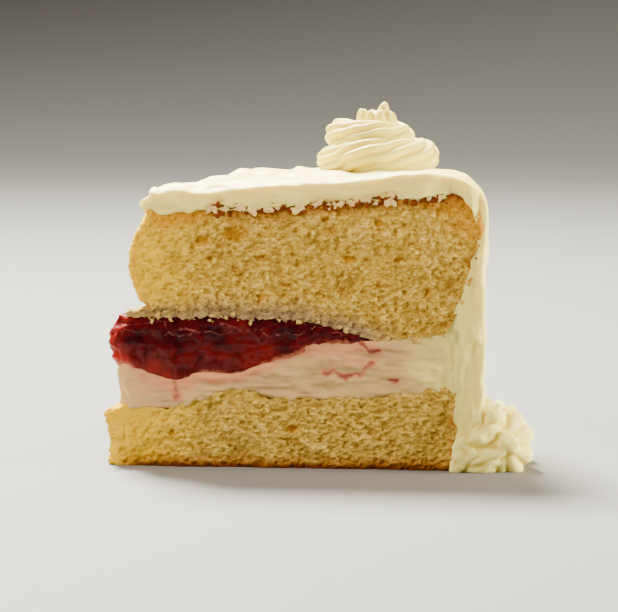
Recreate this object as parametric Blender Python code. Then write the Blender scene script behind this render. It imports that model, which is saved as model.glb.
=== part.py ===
"""One portion of an iced victoria sponge cake, cut as an eighth of a round cake.

Two sponges with jam and cream between them, icing over the top and the outside, a piped swirl on top and
piped shells round the foot. Lengths are in metres, +Z is up, and the near cut face looks along -Y.
The cake's own axis is at the portion's point, and most shapes are given by r, the distance from that axis,
by the angle round it from the near cut face, and by z.
"""

import math

import bmesh
import bpy
from mathutils import Vector, noise

MM = 0.001

PORTION_ANGLE = math.radians(45)
ICING_RADIUS = 105.0 * MM
UPPER_SPONGE_RADIUS = 101.8 * MM
LOWER_SPONGE_RADIUS = 96.6 * MM
CAKE_AXIS = Vector((-58.8 * MM, -37.7 * MM, 0))
CLEARANCE = 0.3 * MM

# Heights of the layers over the portion's foot, as (r, z) in millimetres along the near cut face.
LOWER_SPONGE_TOP = ((0, 16.5), (12, 16.8), (17, 16.2), (25, 18.0), (32, 20.4), (40, 20.5), (47, 18.3),
                    (58, 18.6), (72, 19.4), (84, 20.4), (92, 21.8), (97, 20.5))
JAM_FOOT = ((4, 27.5), (9, 26.2), (15, 23.8), (21, 22.4), (27, 24.2), (37, 24.2), (45, 27.2), (53, 31.0),
            (60, 32.2), (68, 32.4), (76, 32.8))
UPPER_SPONGE_FOOT = ((5, 40.0), (40, 40.0), (55, 39.2), (63, 37.6), (69, 35.8), (75, 34.3), (82, 34.0),
                     (90, 35.2), (97, 37.2), (103, 38.5))
UPPER_SPONGE_TOP = ((10, 67.8), (16, 68.5), (30, 69.8), (55, 70.8), (70, 72.0), (82, 72.8), (103, 73.0))
ICING_TOP = ((10, 72.6), (15, 73.4), (30, 74.4), (50, 75.2), (70, 76.4), (82, 77.5), (105, 77.5))

# Where each layer starts at the point of the portion, as (share of the layer's height, r in millimetres).
LOWER_SPONGE_POINT = ((0, 5.2), (0.05, 4.3), (0.3, 5.4), (0.6, 3.6), (0.84, 1.6), (0.93, 4.0), (1, 7.5))
CREAM_POINT = ((0, 7.6), (0.5, 6.9), (1, 7.6))
JAM_POINT = ((0, 7.6), (0.25, 5.2), (0.45, 4.5), (0.65, 5.6), (0.9, 7.4), (1, 9.0))
UPPER_SPONGE_POINT = ((0, 8.6), (0.045, 8.2), (0.09, 14.2), (0.15, 12.6), (0.25, 10.6), (0.42, 9.2),
                      (0.62, 9.2), (0.8, 11.0), (0.92, 12.8), (1, 14.4))

JAM_END = 75.0 * MM
UPPER_RIM_TUCK_LOW = 6.0 * MM
UPPER_RIM_TUCK_HIGH = 5.0 * MM
LOWER_RIM_TUCK = 1.0 * MM
FILLING_RADIUS = LOWER_SPONGE_RADIUS - 0.5 * MM
ICING_EDGE_RADIUS = 9.0 * MM
ICING_POINT_R = 14.4 * MM
ICING_POINT_BULGE = 2.2 * MM
ICING_POINT_ROUNDING = 3.0 * MM
# How much of the icing's length, from the point over the top and down to the foot, the top and the edge take.
ICING_TOP_SHARE = 0.56
ICING_EDGE_SHARE = 0.68
# The share of the upper sponge's height at which the icing's edge meets its wall, on the inside.
ICING_WALL_START = 0.58
ICING_WALL_FALL = 1.6

WAVE_LENGTH = 21.0 * MM
WAVE_HEIGHT = 0.5 * MM
CRUMB_SIZE = 4.2 * MM
CRUMB_DEPTH = 0.55 * MM
CREAM_SMEAR_SIZE = 14.0 * MM
CREAM_SMEAR_DEPTH = 0.28 * MM
JAM_LUMP_SIZE = 5.5 * MM
JAM_LUMP_DEPTH = 0.9 * MM
KNIFE_RIDGE_PITCH = 17.0 * MM
KNIFE_RIDGE_START = 18.5 * MM
KNIFE_RIDGE_HEIGHT = 1.1 * MM
KNIFE_RIDGE_SLANT = 0.19
WALL_WAVE_HEIGHT = 0.25 * MM

SWIRL_R = 78.0 * MM
SWIRL_ANGLE = PORTION_ANGLE * 0.5
SWIRL_BASE = 77.5 * MM
SWIRL_SEAT_RADIUS = 18.0 * MM
SWIRL_LOBES = 7
SWIRL_FLUTE = 0.24
ROPE_TURNS = 2.3
ROPE_STEPS_PER_TURN = 20
ROPE_TWIST = 0.5
# The rope's path, as (turns, millimetres): its distance from the swirl's axis, its height and its radius.
ROPE_RING = ((0, 11.2), (0.5, 11.4), (1.0, 10.6), (1.5, 8.4), (2.0, 6.0), (2.3, 4.2))
ROPE_HEIGHT = ((0, 4.3), (0.6, 4.5), (1.0, 5.9), (1.5, 8.3), (2.0, 9.8), (2.3, 10.4))
ROPE_RADIUS = ((0, 3.4), (0.2, 5.1), (1.0, 5.3), (1.6, 4.9), (2.3, 4.2))
TUFT_LOBES = 7
TUFT_RADIUS = 6.3 * MM
TUFT_FOOT = 10.0 * MM
TUFT_SHOULDER = 14.6 * MM
FINGER_RING = 3.7 * MM
FINGER_RADIUS = 1.9 * MM
PEAK_ANGLE = math.radians(-25)

SHELL_COUNT = 6
SHELL_PITCH = math.radians(7.7)
SHELL_RADIUS = 8.0 * MM
SHELL_REACH = 4.2 * MM
SHELL_LOBES = 7

SHELL_FLUTE = 0.24
# The lumps that the knife drags over the foot of the near cut face, as centres from the cake's axis and
# half sizes, in millimetres.
DRAGGED_LUMPS = (((98.5, -2.2, 7.0), (5.0, 2.4, 4.6)), ((96.6, -2.0, 2.4), (4.4, 2.2, 3.2)),
                 ((104.2, -1.6, 8.6), (5.4, 3.6, 5.6)), ((108.6, 0.6, 5.6), (5.2, 5.4, 5.6)),
                 ((102.6, -2.0, 3.2), (6.4, 3.0, 4.2)))

SPONGE_COLOUR = (0.66, 0.43, 0.15)
JAM_COLOUR = (0.20, 0.012, 0.012)
CREAM_COLOUR = (0.86, 0.79, 0.60)


def clear_scene():
    for thing in list(bpy.data.objects):
        bpy.data.objects.remove(thing)


def finish(name, colour, roughness):
    made = bpy.data.materials.new(name)
    made.use_nodes = True
    shader = made.node_tree.nodes["Principled BSDF"]
    shader.inputs["Base Color"].default_value = (*colour, 1)
    shader.inputs["Roughness"].default_value = roughness
    shader.inputs["Metallic"].default_value = 0
    made.diffuse_color = (*colour, 1)
    return made


def smooth(x):
    x = min(1, max(0, x))
    return x * x * (3 - 2 * x)


def along(points, x):
    """The value at x of a curve through the points, level at both ends."""
    if x <= points[0][0]:
        return points[0][1]
    if x >= points[-1][0]:
        return points[-1][1]
    last = len(points) - 1
    i = next(k for k in range(last) if x <= points[k + 1][0])
    before, here, after, beyond = (points[min(last, max(0, k))] for k in (i - 1, i, i + 1, i + 2))
    gap = after[0] - here[0]
    share = (x - here[0]) / gap
    slope_here = (after[1] - before[1]) / (after[0] - before[0]) * gap
    slope_after = (beyond[1] - here[1]) / (beyond[0] - here[0]) * gap
    return ((2 * share**3 - 3 * share**2 + 1) * here[1] + (share**3 - 2 * share**2 + share) * slope_here
            + (3 * share**2 - 2 * share**3) * after[1] + (share**3 - share**2) * slope_after)


def in_cake(r, angle, z):
    """A point of the cake, from its distance from the axis, its angle and its height."""
    return Vector((r * math.cos(angle), r * math.sin(angle), z)) + CAKE_AXIS


def wave(r, angle, seed):
    """A slow unevenness of a layer, from one side of the portion to the other."""
    return WAVE_HEIGHT * noise.noise(in_cake(r, angle, seed * 7 * WAVE_LENGTH) / WAVE_LENGTH)


def layer_height(profile, r, angle, seed):
    """The height of a layer's surface, which drifts a little away from the near cut face."""
    drift = 2.5 * math.sin(2.2 * angle)
    return along(profile, r / MM + drift) * MM + wave(r, angle, seed)


def lower_sponge_top(r, angle):
    return layer_height(LOWER_SPONGE_TOP, r, angle, 1)


def upper_sponge_foot(r, angle):
    return layer_height(UPPER_SPONGE_FOOT, r, angle, 2)


def upper_sponge_top(r, angle):
    return layer_height(UPPER_SPONGE_TOP, r, angle, 3)


def jam_foot(r, angle):
    ceiling = upper_sponge_foot(r, angle) - 2 * CLEARANCE
    return min(layer_height(JAM_FOOT, r, angle, 4), ceiling - 0.9 * MM)


def filling_top(r, angle):
    """The cream's upper surface: under the jam near the point, under the sponge from the jam's end on."""
    under_jam = jam_foot(r, angle) - CLEARANCE
    under_sponge = upper_sponge_foot(r, angle) - CLEARANCE
    share = smooth((r - JAM_END - 0.6 * MM) / (2.4 * MM))
    return under_jam + (under_sponge - under_jam) * share


def icing_top(r, angle):
    """The icing's upper surface with the ridges that the knife leaves, level under the swirl."""
    centre = in_cake(SWIRL_R, SWIRL_ANGLE, 0)
    spot = in_cake(r, angle, 0)
    free = smooth(((spot - centre).length - SWIRL_SEAT_RADIUS) / (7 * MM))
    square_on, lengthwise = r * math.sin(angle), r * math.cos(angle)
    wander = 3 * MM * noise.noise(spot / (30 * MM))
    stroke = (square_on + KNIFE_RIDGE_SLANT * lengthwise + wander - KNIFE_RIDGE_START) / KNIFE_RIDGE_PITCH % 1
    ridge = KNIFE_RIDGE_HEIGHT * (smooth(stroke / 0.2) - stroke)
    plain = layer_height(ICING_TOP, r, angle, 5) + ridge * smooth((ICING_RADIUS - r) / (14 * MM))
    return SWIRL_BASE + (plain - SWIRL_BASE) * free


def point_r(profile, share, across):
    """Where a layer starts at the portion's point, rounded off between the two cut faces."""
    return along(profile, share) * MM * (1 - 0.28 * math.sin(math.pi * across))


def upper_rim(share):
    """The baked sponge's round side."""
    return UPPER_SPONGE_RADIUS - UPPER_RIM_TUCK_LOW * (1 - share)**4 - UPPER_RIM_TUCK_HIGH * share**7


def lower_rim(share):
    return LOWER_SPONGE_RADIUS - LOWER_RIM_TUCK * share**3


def crumb(point, seed):
    """How far the torn crumb stands out of a cut face."""
    spot = point / CRUMB_SIZE + Vector((0, 0, 13.7 * seed))
    return CRUMB_DEPTH * (noise.noise(spot) + 0.6 * noise.noise(spot * 2.1))


def smear(point, seed):
    """How far knife-dragged cream stands out of a cut face."""
    spot = Vector((point.x, point.y, point.z * 2.4)) / CREAM_SMEAR_SIZE + Vector((0, 0, 9.1 * seed))
    return CREAM_SMEAR_DEPTH * noise.noise(spot)


def lumps(point, seed):
    """How far the fruit in the jam stands out of a cut face."""
    spot = point / JAM_LUMP_SIZE + Vector((0, 0, 5.3 * seed))
    return JAM_LUMP_DEPTH * (0.35 + noise.noise(spot))


def gridded_cube(counts):
    """A unit cube with its sides divided into a grid, as a bmesh with corners at 0 and 1."""
    grid = bmesh.new()
    bmesh.ops.create_cube(grid, size=1)
    bmesh.ops.translate(grid, verts=grid.verts, vec=(0.5, 0.5, 0.5))
    for axis, count in enumerate(counts):
        lengthwise = [edge for edge in grid.edges
                      if abs(edge.verts[0].co[axis] - edge.verts[1].co[axis]) > 0.5]
        bmesh.ops.subdivide_edges(grid, edges=lengthwise, cuts=count - 1, use_grid_fill=True)
    return grid


def add_object(name, shape, material):
    mesh = bpy.data.meshes.new(name)
    bmesh.ops.recalc_face_normals(shape, faces=shape.faces)
    shape.to_mesh(mesh)
    shape.free()
    mesh.materials.append(material)
    mesh.shade_smooth()
    mesh.set_sharp_from_angle(angle=math.radians(40))
    made = bpy.data.objects.new(name, mesh)
    bpy.context.scene.collection.objects.link(made)
    return made


def add_layer(name, counts, place, relief, material):
    """A closed layer of the portion. place gives a point from its shares from point to rim, from the near to
    the far cut face, and from foot to top. relief moves the points of both cut faces and of the blunt point."""
    shape = gridded_cube(counts)
    for vertex in shape.verts:
        outward, across, up = vertex.co
        spot = place(outward, across, up)
        if across < 1e-4:
            spot += Vector((0, -1, 0)) * relief(spot, 1)
        elif across > 1 - 1e-4:
            spot += Vector((-math.sin(PORTION_ANGLE), math.cos(PORTION_ANGLE), 0)) * relief(spot, 2)
        elif outward < 1e-4:
            middle = PORTION_ANGLE / 2
            spot -= Vector((math.cos(middle), math.sin(middle), 0)) * relief(spot, 3)
        vertex.co = spot
    return add_object(name, shape, material)


def lower_sponge_place(outward, across, up):
    start = point_r(LOWER_SPONGE_POINT, up, across)
    r = start + (lower_rim(up) - start) * outward
    angle = PORTION_ANGLE * across
    return in_cake(r, angle, lower_sponge_top(r, angle) * up)


def upper_sponge_place(outward, across, up):
    up = up**1.35
    start = point_r(UPPER_SPONGE_POINT, up, across)
    r = start + (upper_rim(up) - start) * outward
    angle = PORTION_ANGLE * across
    foot = upper_sponge_foot(r, angle)
    return in_cake(r, angle, foot + (upper_sponge_top(r, angle) - foot) * up)


def jam_place(outward, across, up):
    start = point_r(JAM_POINT, up, across)
    r = start + (JAM_END - start) * outward
    angle = PORTION_ANGLE * across
    foot = jam_foot(r, angle)
    return in_cake(r, angle, foot + (upper_sponge_foot(r, angle) - CLEARANCE - foot) * up)


def filling_place(outward, across, up):
    start = point_r(CREAM_POINT, up, across)
    r = start + (FILLING_RADIUS - start) * outward
    angle = PORTION_ANGLE * across
    foot = lower_sponge_top(r, angle) + CLEARANCE
    return in_cake(r, angle, foot + (filling_top(r, angle) - foot) * up)


def icing_outside(s, angle):
    """The icing's outer line at share s, from the point over the top and down to the foot, as (r, z)."""
    edge_start = ICING_RADIUS - ICING_EDGE_RADIUS
    if s < ICING_TOP_SHARE:
        r = ICING_POINT_R + (edge_start - ICING_POINT_R) * s / ICING_TOP_SHARE
        return r, icing_top(r, angle)
    shoulder = icing_top(edge_start, angle)
    if s < ICING_EDGE_SHARE:
        turn = math.pi / 2 * (s - ICING_TOP_SHARE) / (ICING_EDGE_SHARE - ICING_TOP_SHARE)
        return (edge_start + ICING_EDGE_RADIUS * math.sin(turn),
                shoulder - ICING_EDGE_RADIUS * (1 - math.cos(turn)))
    down = (s - ICING_EDGE_SHARE) / (1 - ICING_EDGE_SHARE)
    z = (shoulder - ICING_EDGE_RADIUS) * (1 - down) + CLEARANCE * down
    spot = in_cake(ICING_RADIUS, angle, 3 * z) / WAVE_LENGTH
    return ICING_RADIUS + (WALL_WAVE_HEIGHT * noise.noise(spot) - 0.5 * MM * down) * smooth(6 * down), z


def icing_inside(s, angle):
    """The icing's inner line at share s, a clearance off both sponges and the filling, as (r, z)."""
    if s < ICING_TOP_SHARE:
        r = ICING_POINT_R + (upper_rim(1) - ICING_POINT_R) * s / ICING_TOP_SHARE
        return r, upper_sponge_top(r, angle) + 1.5 * CLEARANCE
    if s < ICING_EDGE_SHARE:
        share = 1 - (1 - ICING_WALL_START) * (s - ICING_TOP_SHARE) / (ICING_EDGE_SHARE - ICING_TOP_SHARE)
    else:
        share = ICING_WALL_START - ICING_WALL_FALL * (s - ICING_EDGE_SHARE) / (1 - ICING_EDGE_SHARE)
    if share > 0:
        r = upper_rim(share)
        foot = upper_sponge_foot(r, angle)
        z = foot + (upper_sponge_top(r, angle) - foot) * share
        lift = smooth((share - 0.8) / 0.2)
        return r + CLEARANCE * (2 - lift), z + 1.5 * CLEARANCE * lift
    foot = upper_sponge_foot(upper_rim(0), angle)
    z = foot + (foot - CLEARANCE) * share / (ICING_WALL_FALL - ICING_WALL_START)
    return LOWER_SPONGE_RADIUS + CLEARANCE, max(z, CLEARANCE)


def icing_place(outward, across, up):
    angle = PORTION_ANGLE * across
    inside, outside = icing_inside(outward, angle), icing_outside(outward, angle)
    r = inside[0] + (outside[0] - inside[0]) * up
    z = inside[1] + (outside[1] - inside[1]) * up
    droop = smooth(1 - outward / 0.04)
    r -= ICING_POINT_BULGE * droop * math.sin(math.pi * min(1, up + 0.15))
    r -= ICING_POINT_ROUNDING * droop * math.sin(math.pi * across)
    return in_cake(r, angle, z)


def star(turn, lobes, depth):
    """The radius factor of a star nozzle's outline."""
    return 1 - depth + depth * (1 - abs(math.sin(lobes * turn / 2))**1.4)


def swept(rings, closed_ends=True):
    """A closed tube through rings of points, each with as many points, as a bmesh."""
    shape = bmesh.new()
    loops = [[shape.verts.new(point) for point in ring] for ring in rings]
    for here, after in zip(loops, loops[1:]):
        for k in range(len(here)):
            n = (k + 1) % len(here)
            shape.faces.new((here[k], here[n], after[n], after[k]))
    if closed_ends:
        shape.faces.new(loops[0])
        shape.faces.new(loops[-1])
    return shape


def ring_about(centre, direction, radius, lobes, depth, twist, steps=2):
    """A star outline round a centre, square to a direction that isn't upright."""
    side = direction.cross(Vector((0, 0, 1))).normalized()
    up = side.cross(direction).normalized()
    count = lobes * steps
    ring = []
    for k in range(count):
        turn = 2 * math.pi * k / count
        reach = radius * star(turn, lobes, depth)
        ring.append(centre + side * (reach * math.cos(turn + twist)) + up * (reach * math.sin(turn + twist)))
    return ring


def keep_largest(shape):
    """Drops what a union leaves inside as sealed hollows, and any loose scrap."""
    waiting = set(shape.verts)
    islands = []
    while waiting:
        edge_of_search = [waiting.pop()]
        island = list(edge_of_search)
        while edge_of_search:
            vertex = edge_of_search.pop()
            found = [edge.other_vert(vertex) for edge in vertex.link_edges]
            fresh = [other for other in found if other in waiting]
            waiting.difference_update(fresh)
            island += fresh
            edge_of_search += fresh
        islands.append(island)
    islands.sort(key=len)
    for island in islands[:-1]:
        bmesh.ops.delete(shape, geom=island, context="VERTS")


def united(name, pieces, material):
    """One solid from overlapping pieces, by one Boolean union on their collection."""
    first, *others = pieces
    group = bpy.data.collections.new(name + "_pieces")
    for piece in others:
        group.objects.link(piece)
    union = first.modifiers.new("Union", "BOOLEAN")
    union.operation = "UNION"
    union.operand_type = "COLLECTION"
    union.collection = group
    union.solver = "EXACT"
    union.use_self = True
    graph = bpy.context.evaluated_depsgraph_get()
    shape = bmesh.new()
    shape.from_mesh(first.evaluated_get(graph).to_mesh())
    keep_largest(shape)
    for piece in pieces:
        bpy.data.objects.remove(piece)
    bpy.data.collections.remove(group)
    return add_object(name, shape, material)


def rope_point(turns):
    """The rope's centre, from how many turns it has made, about the swirl's own foot."""
    radius = along(ROPE_RING, turns) * MM
    angle = 2 * math.pi * turns + math.radians(200)
    return Vector((radius * math.cos(angle), radius * math.sin(angle), along(ROPE_HEIGHT, turns) * MM))


def add_swirl(material):
    """The piped swirl: a fluted rope that winds up and in, round a core, with a drawn tuft on top."""
    foot = in_cake(SWIRL_R, SWIRL_ANGLE, SWIRL_BASE + CLEARANCE)
    rings = []
    for step in range(int(ROPE_TURNS * ROPE_STEPS_PER_TURN) + 1):
        turns = step / ROPE_STEPS_PER_TURN
        ahead = rope_point(turns + 0.01) - rope_point(turns - 0.01)
        rings.append(ring_about(foot + rope_point(turns), ahead.normalized(), along(ROPE_RADIUS, turns) * MM,
                                SWIRL_LOBES, SWIRL_FLUTE, ROPE_TWIST * turns * 2 * math.pi / SWIRL_LOBES))
    rope = add_object("swirl_rope", swept(rings), material)
    swirl = united("piped_swirl", [rope, add_swirl_core(foot, material), *add_tuft(foot, material)], material)
    cut_below(swirl, foot.z)
    return swirl


def add_swirl_core(foot, material):
    """What fills the coils: a cone that stays inside them."""
    core = bmesh.new()
    height = TUFT_FOOT + 2 * MM
    bmesh.ops.create_cone(core, cap_ends=True, segments=16, radius1=12.0 * MM, radius2=4.0 * MM, depth=height)
    bmesh.ops.translate(core, verts=core.verts, vec=foot + Vector((0, 0, height / 2 + 0.1 * MM)))
    return add_object("swirl_core", core, material)


def add_tuft(foot, material):
    """The tuft that the nozzle leaves as it is drawn up and off: a fluted stub with a finger on each flute."""
    rings = []
    for share, width in ((0, 0.9), (0.5, 1.0), (1, 0.78)):
        z = TUFT_FOOT + (TUFT_SHOULDER - TUFT_FOOT) * share
        ring = []
        for k in range(TUFT_LOBES * 4):
            turn = 2 * math.pi * k / (TUFT_LOBES * 4)
            reach = TUFT_RADIUS * width * star(turn + math.pi / TUFT_LOBES, TUFT_LOBES, 0.2)
            ring.append(foot + Vector((reach * math.cos(turn), reach * math.sin(turn), z)))
        rings.append(ring)
    pieces = [add_object("swirl_tuft", swept(rings), material)]
    for k in range(TUFT_LOBES):
        turn = 2 * math.pi * k / TUFT_LOBES
        tall = 0.5 + 0.5 * math.cos(turn - PEAK_ANGLE)
        ring = FINGER_RING * (1 - 0.35 * tall)
        top = TUFT_SHOULDER + (1.5 + 3.3 * tall**2) * MM
        centre = foot + Vector((ring * math.cos(turn), ring * math.sin(turn), (TUFT_FOOT + top) / 2))
        size = (FINGER_RADIUS, FINGER_RADIUS, (top - TUFT_FOOT) / 2)
        pieces.append(add_dollop(f"finger_{k}", centre, size, material))
    return pieces


def cut_below(piece, height):
    """Cuts a piece off level at a height, and closes it."""
    shape = bmesh.new()
    shape.from_mesh(piece.data)
    cut_plane(shape, Vector((0, 0, height)), Vector((0, 0, -1)))
    shape.to_mesh(piece.data)
    shape.free()


def cut_plane(shape, point, outward):
    """Removes what is beyond a plane, and closes the cut."""
    found = bmesh.ops.bisect_plane(shape, geom=shape.verts[:] + shape.edges[:] + shape.faces[:], dist=1e-7,
                                   plane_co=point, plane_no=outward, clear_outer=True)
    rim = [part for part in found["geom_cut"] if isinstance(part, bmesh.types.BMEdge)]
    bmesh.ops.holes_fill(shape, edges=rim, sides=0)
    bmesh.ops.recalc_face_normals(shape, faces=shape.faces)


def shell_rings(start_angle, plump, reach):
    """One shell of the border: a fluted body that swells at its head and runs out into a tail."""
    rings = []
    for share, width in ((0, 0.25), (0.08, 0.66), (0.22, 0.95), (0.4, 1.0), (0.6, 0.82), (0.8, 0.58), (1, 0.36)):
        angle = start_angle + SHELL_PITCH * 1.35 * share
        r = ICING_RADIUS + reach * (1 - 0.2 * share)
        z = SHELL_RADIUS * plump * (0.98 - 0.3 * share)
        direction = Vector((-math.sin(angle), math.cos(angle), -0.15))
        rings.append(ring_about(in_cake(r, angle, z), direction, SHELL_RADIUS * plump * width,
                                SHELL_LOBES, SHELL_FLUTE, 0.3 + 0.5 * share))
    return rings


def add_dollop(name, centre, size, material):
    """A soft lump of cream, as a ball stretched to a size."""
    ball = bmesh.new()
    bmesh.ops.create_icosphere(ball, subdivisions=2, radius=1)
    for vertex in ball.verts:
        spot = vertex.co * (1 + 0.12 * noise.noise(vertex.co * 1.7 + centre * 90))
        vertex.co = centre + Vector((spot.x * size[0], spot.y * size[1], spot.z * size[2]))
    return add_object(name, ball, material)


def add_border(material):
    """The piped shells round the foot, cut by both knife cuts and kept clear of the icing."""
    pieces = []
    for k in range(SHELL_COUNT):
        plump = 1 + 0.07 * math.sin(5.1 * k + 1)
        reach = SHELL_REACH * (1 + 0.12 * math.sin(3.3 * k + 0.5))
        rings = shell_rings(math.radians(-0.8) + SHELL_PITCH * k, plump, reach)
        pieces.append(add_object(f"shell_{k}", swept(rings), material))
    for k, (centre, size) in enumerate(DRAGGED_LUMPS):
        place = CAKE_AXIS + Vector(centre) * MM
        pieces.append(add_dollop(f"lump_{k}", place, [length * MM for length in size], material))
    border = united("piped_border", pieces, material)
    trim_border(border)
    return border


def trim_border(border):
    """Takes the space of the cake itself out of the border, and levels its foot and its far end."""
    keep_out = bmesh.new()
    outline = [in_cake(20 * MM, -0.02, 0), in_cake(20 * MM, PORTION_ANGLE, 0)]
    steps = 28
    margin = CLEARANCE + WALL_WAVE_HEIGHT
    for k in range(steps + 1):
        angle = PORTION_ANGLE + 0.06 - (PORTION_ANGLE + 0.06) * k / steps
        outline.append(in_cake(ICING_RADIUS + margin, angle, 0))
    front = CAKE_AXIS.y - 0.9 * MM
    outline.append(Vector((outline[-1].x, front, 0)))
    outline[0] = Vector((outline[0].x, front, 0))
    floor = [keep_out.verts.new(Vector((spot.x, spot.y, -20 * MM))) for spot in outline]
    face = keep_out.faces.new(floor)
    grown = bmesh.ops.extrude_face_region(keep_out, geom=[face])
    raised = [part for part in grown["geom"] if isinstance(part, bmesh.types.BMVert)]
    bmesh.ops.translate(keep_out, verts=raised, vec=(0, 0, 120 * MM))
    cutter = add_object("cake_space", keep_out, border.data.materials[0])
    cut = border.modifiers.new("Cake space", "BOOLEAN")
    cut.operation = "DIFFERENCE"
    cut.object = cutter
    cut.solver = "EXACT"
    graph = bpy.context.evaluated_depsgraph_get()
    shape = bmesh.new()
    shape.from_mesh(border.evaluated_get(graph).to_mesh())
    border.modifiers.remove(cut)
    bpy.data.objects.remove(cutter)
    cut_plane(shape, Vector((0, 0, 0)), Vector((0, 0, -1)))
    far_side = Vector((-math.sin(PORTION_ANGLE), math.cos(PORTION_ANGLE), 0))
    cut_plane(shape, CAKE_AXIS, far_side)
    shape.to_mesh(border.data)
    shape.free()


def main():
    clear_scene()
    sponge = finish("sponge_crumb", SPONGE_COLOUR, 0.9)
    jam = finish("jam", JAM_COLOUR, 0.15)
    cream = finish("cream", CREAM_COLOUR, 0.5)
    add_layer("lower_sponge", (30, 7, 7), lower_sponge_place, crumb, sponge)
    add_layer("cream_filling", (30, 7, 4), filling_place, smear, cream)
    add_layer("jam_filling", (24, 7, 5), jam_place, lumps, jam)
    add_layer("upper_sponge", (30, 7, 12), upper_sponge_place, crumb, sponge)
    add_layer("icing", (50, 9, 2), icing_place, smear, cream)
    add_swirl(cream)
    add_border(cream)


main()
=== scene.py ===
# One portion of an iced victoria sponge cake: the looks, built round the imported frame.
# Shapes are worked out in millimetres and turned into metres as each mesh is made.
import math
import bmesh
import bpy
import numpy as np
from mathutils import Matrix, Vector


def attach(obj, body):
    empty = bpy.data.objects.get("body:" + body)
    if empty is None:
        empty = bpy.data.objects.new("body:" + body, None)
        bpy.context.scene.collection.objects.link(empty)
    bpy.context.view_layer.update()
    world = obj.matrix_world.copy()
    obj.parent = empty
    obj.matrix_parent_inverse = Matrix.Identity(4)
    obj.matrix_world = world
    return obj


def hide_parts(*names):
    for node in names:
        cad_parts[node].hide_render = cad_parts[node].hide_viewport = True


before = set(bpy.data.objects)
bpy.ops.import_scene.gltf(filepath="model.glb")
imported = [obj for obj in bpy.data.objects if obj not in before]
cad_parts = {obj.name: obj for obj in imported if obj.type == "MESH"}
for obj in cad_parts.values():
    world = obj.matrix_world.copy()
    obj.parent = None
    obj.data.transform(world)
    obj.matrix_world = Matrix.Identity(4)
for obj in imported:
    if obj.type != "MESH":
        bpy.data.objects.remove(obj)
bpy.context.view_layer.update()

mm = 0.001
rasterStep = 0.2                        # millimetres between the points of a raster of relief
sides = (0, 1)                          # the near cut face and the far one

cake = {
    "portion": math.radians(45),        # the angle that is cut out of the whole cake
    "axisX": -58.8, "axisY": -37.7,     # the whole cake's axis, at the portion's point
    "icingR": 104.0, "upperR": 102.3, "lowerR": 96.6,
    "waveSize": 21.0, "wave": 0.4, "bend": 2.5,     # the slow unevenness of every layer
    "edgeRound": 11.0,                  # the icing's rounded shoulder
}


# Numbers and noise

def smooth(x):
    x = np.clip(x, 0, 1)
    return x * x * (3 - 2 * x)


def along(points, x):                   # a smooth curve through the points, level past both ends
    xs, ys = np.array(points, float).T
    slope = np.gradient(ys, xs)
    slope[1:-1] = (ys[2:] - ys[:-2]) / (xs[2:] - xs[:-2])
    x = np.clip(x, xs[0], xs[-1])
    i = np.clip(np.searchsorted(xs, x, side="right") - 1, 0, len(xs) - 2)
    gap = xs[i + 1] - xs[i]
    t = (x - xs[i]) / gap
    start = (2 * t**3 - 3 * t**2 + 1) * ys[i] + (t**3 - 2 * t**2 + t) * slope[i] * gap
    return start + (3 * t**2 - 2 * t**3) * ys[i + 1] + (t**3 - t**2) * slope[i + 1] * gap


def softNoise(spots, size, seed, octaves=2):    # smooth noise, about -1 to 1, at an array of points
    table = np.random.default_rng(seed).uniform(-1, 1, (24, 24, 24))
    total = 0
    for octave in range(octaves):
        scaled = spots / np.asarray(size, float) * 2.03**octave + 11.7
        cell = np.floor(scaled).astype(int)
        part = scaled - cell
        part = part**3 * (part * (part * 6 - 15) + 10)
        value = 0
        for corner in np.ndindex(2, 2, 2):
            weight = np.prod(np.where(corner, part, 1 - part), axis=-1)
            at = (cell + corner) % 24
            value = value + weight * table[at[..., 0], at[..., 1], at[..., 2]]
        total = total + value * 1.5 * 0.5**octave
    return total


def bubbleMap(width, height, seed, kinds, soft=0.5):    # a raster of the caps of many balls
    # Each kind is how many in a square centimetre, least and most radius, depth and stretch
    high, wide = int(height / rasterStep) + 2, int(width / rasterStep) + 2
    field = np.zeros((high, wide))
    draw = np.random.default_rng(seed)
    rowAt, colAt = np.arange(high) * rasterStep, np.arange(wide) * rasterStep
    for perCm2, least, most, depth, stretch in kinds:
        for n in range(int(perCm2 * width * height / 100)):
            radius = least + (most - least) * draw.random()**1.8
            x, z = draw.random(2) * (width, height)
            longer = 1 + (stretch - 1) * draw.random()
            turn = draw.normal() * 0.5
            c0, c1 = np.searchsorted(colAt, (x - radius * longer, x + radius * longer))
            r0, r1 = np.searchsorted(rowAt, (z - radius * longer, z + radius * longer))
            dx, dz = colAt[None, c0:c1] - x, rowAt[r0:r1, None] - z
            a = (dx * math.cos(turn) + dz * math.sin(turn)) / (radius * longer)
            b = (dz * math.cos(turn) - dx * math.sin(turn)) / radius
            cap = depth * radius * np.clip(1 - a * a - b * b, 0, 1)**soft
            field[r0:r1, c0:c1] = np.maximum(field[r0:r1, c0:c1], cap)
    return field


def readMap(field, x, z):               # the raster's value at points, between its cells
    col = np.clip(x / rasterStep, 0, field.shape[1] - 1.001)
    row = np.clip(z / rasterStep, 0, field.shape[0] - 1.001)
    c, r = col.astype(int), row.astype(int)
    u, v = col - c, row - r
    low = field[r, c] * (1 - u) + field[r, c + 1] * u
    return low * (1 - v) + (field[r + 1, c] * (1 - u) + field[r + 1, c + 1] * u) * v


# Meshes

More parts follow.
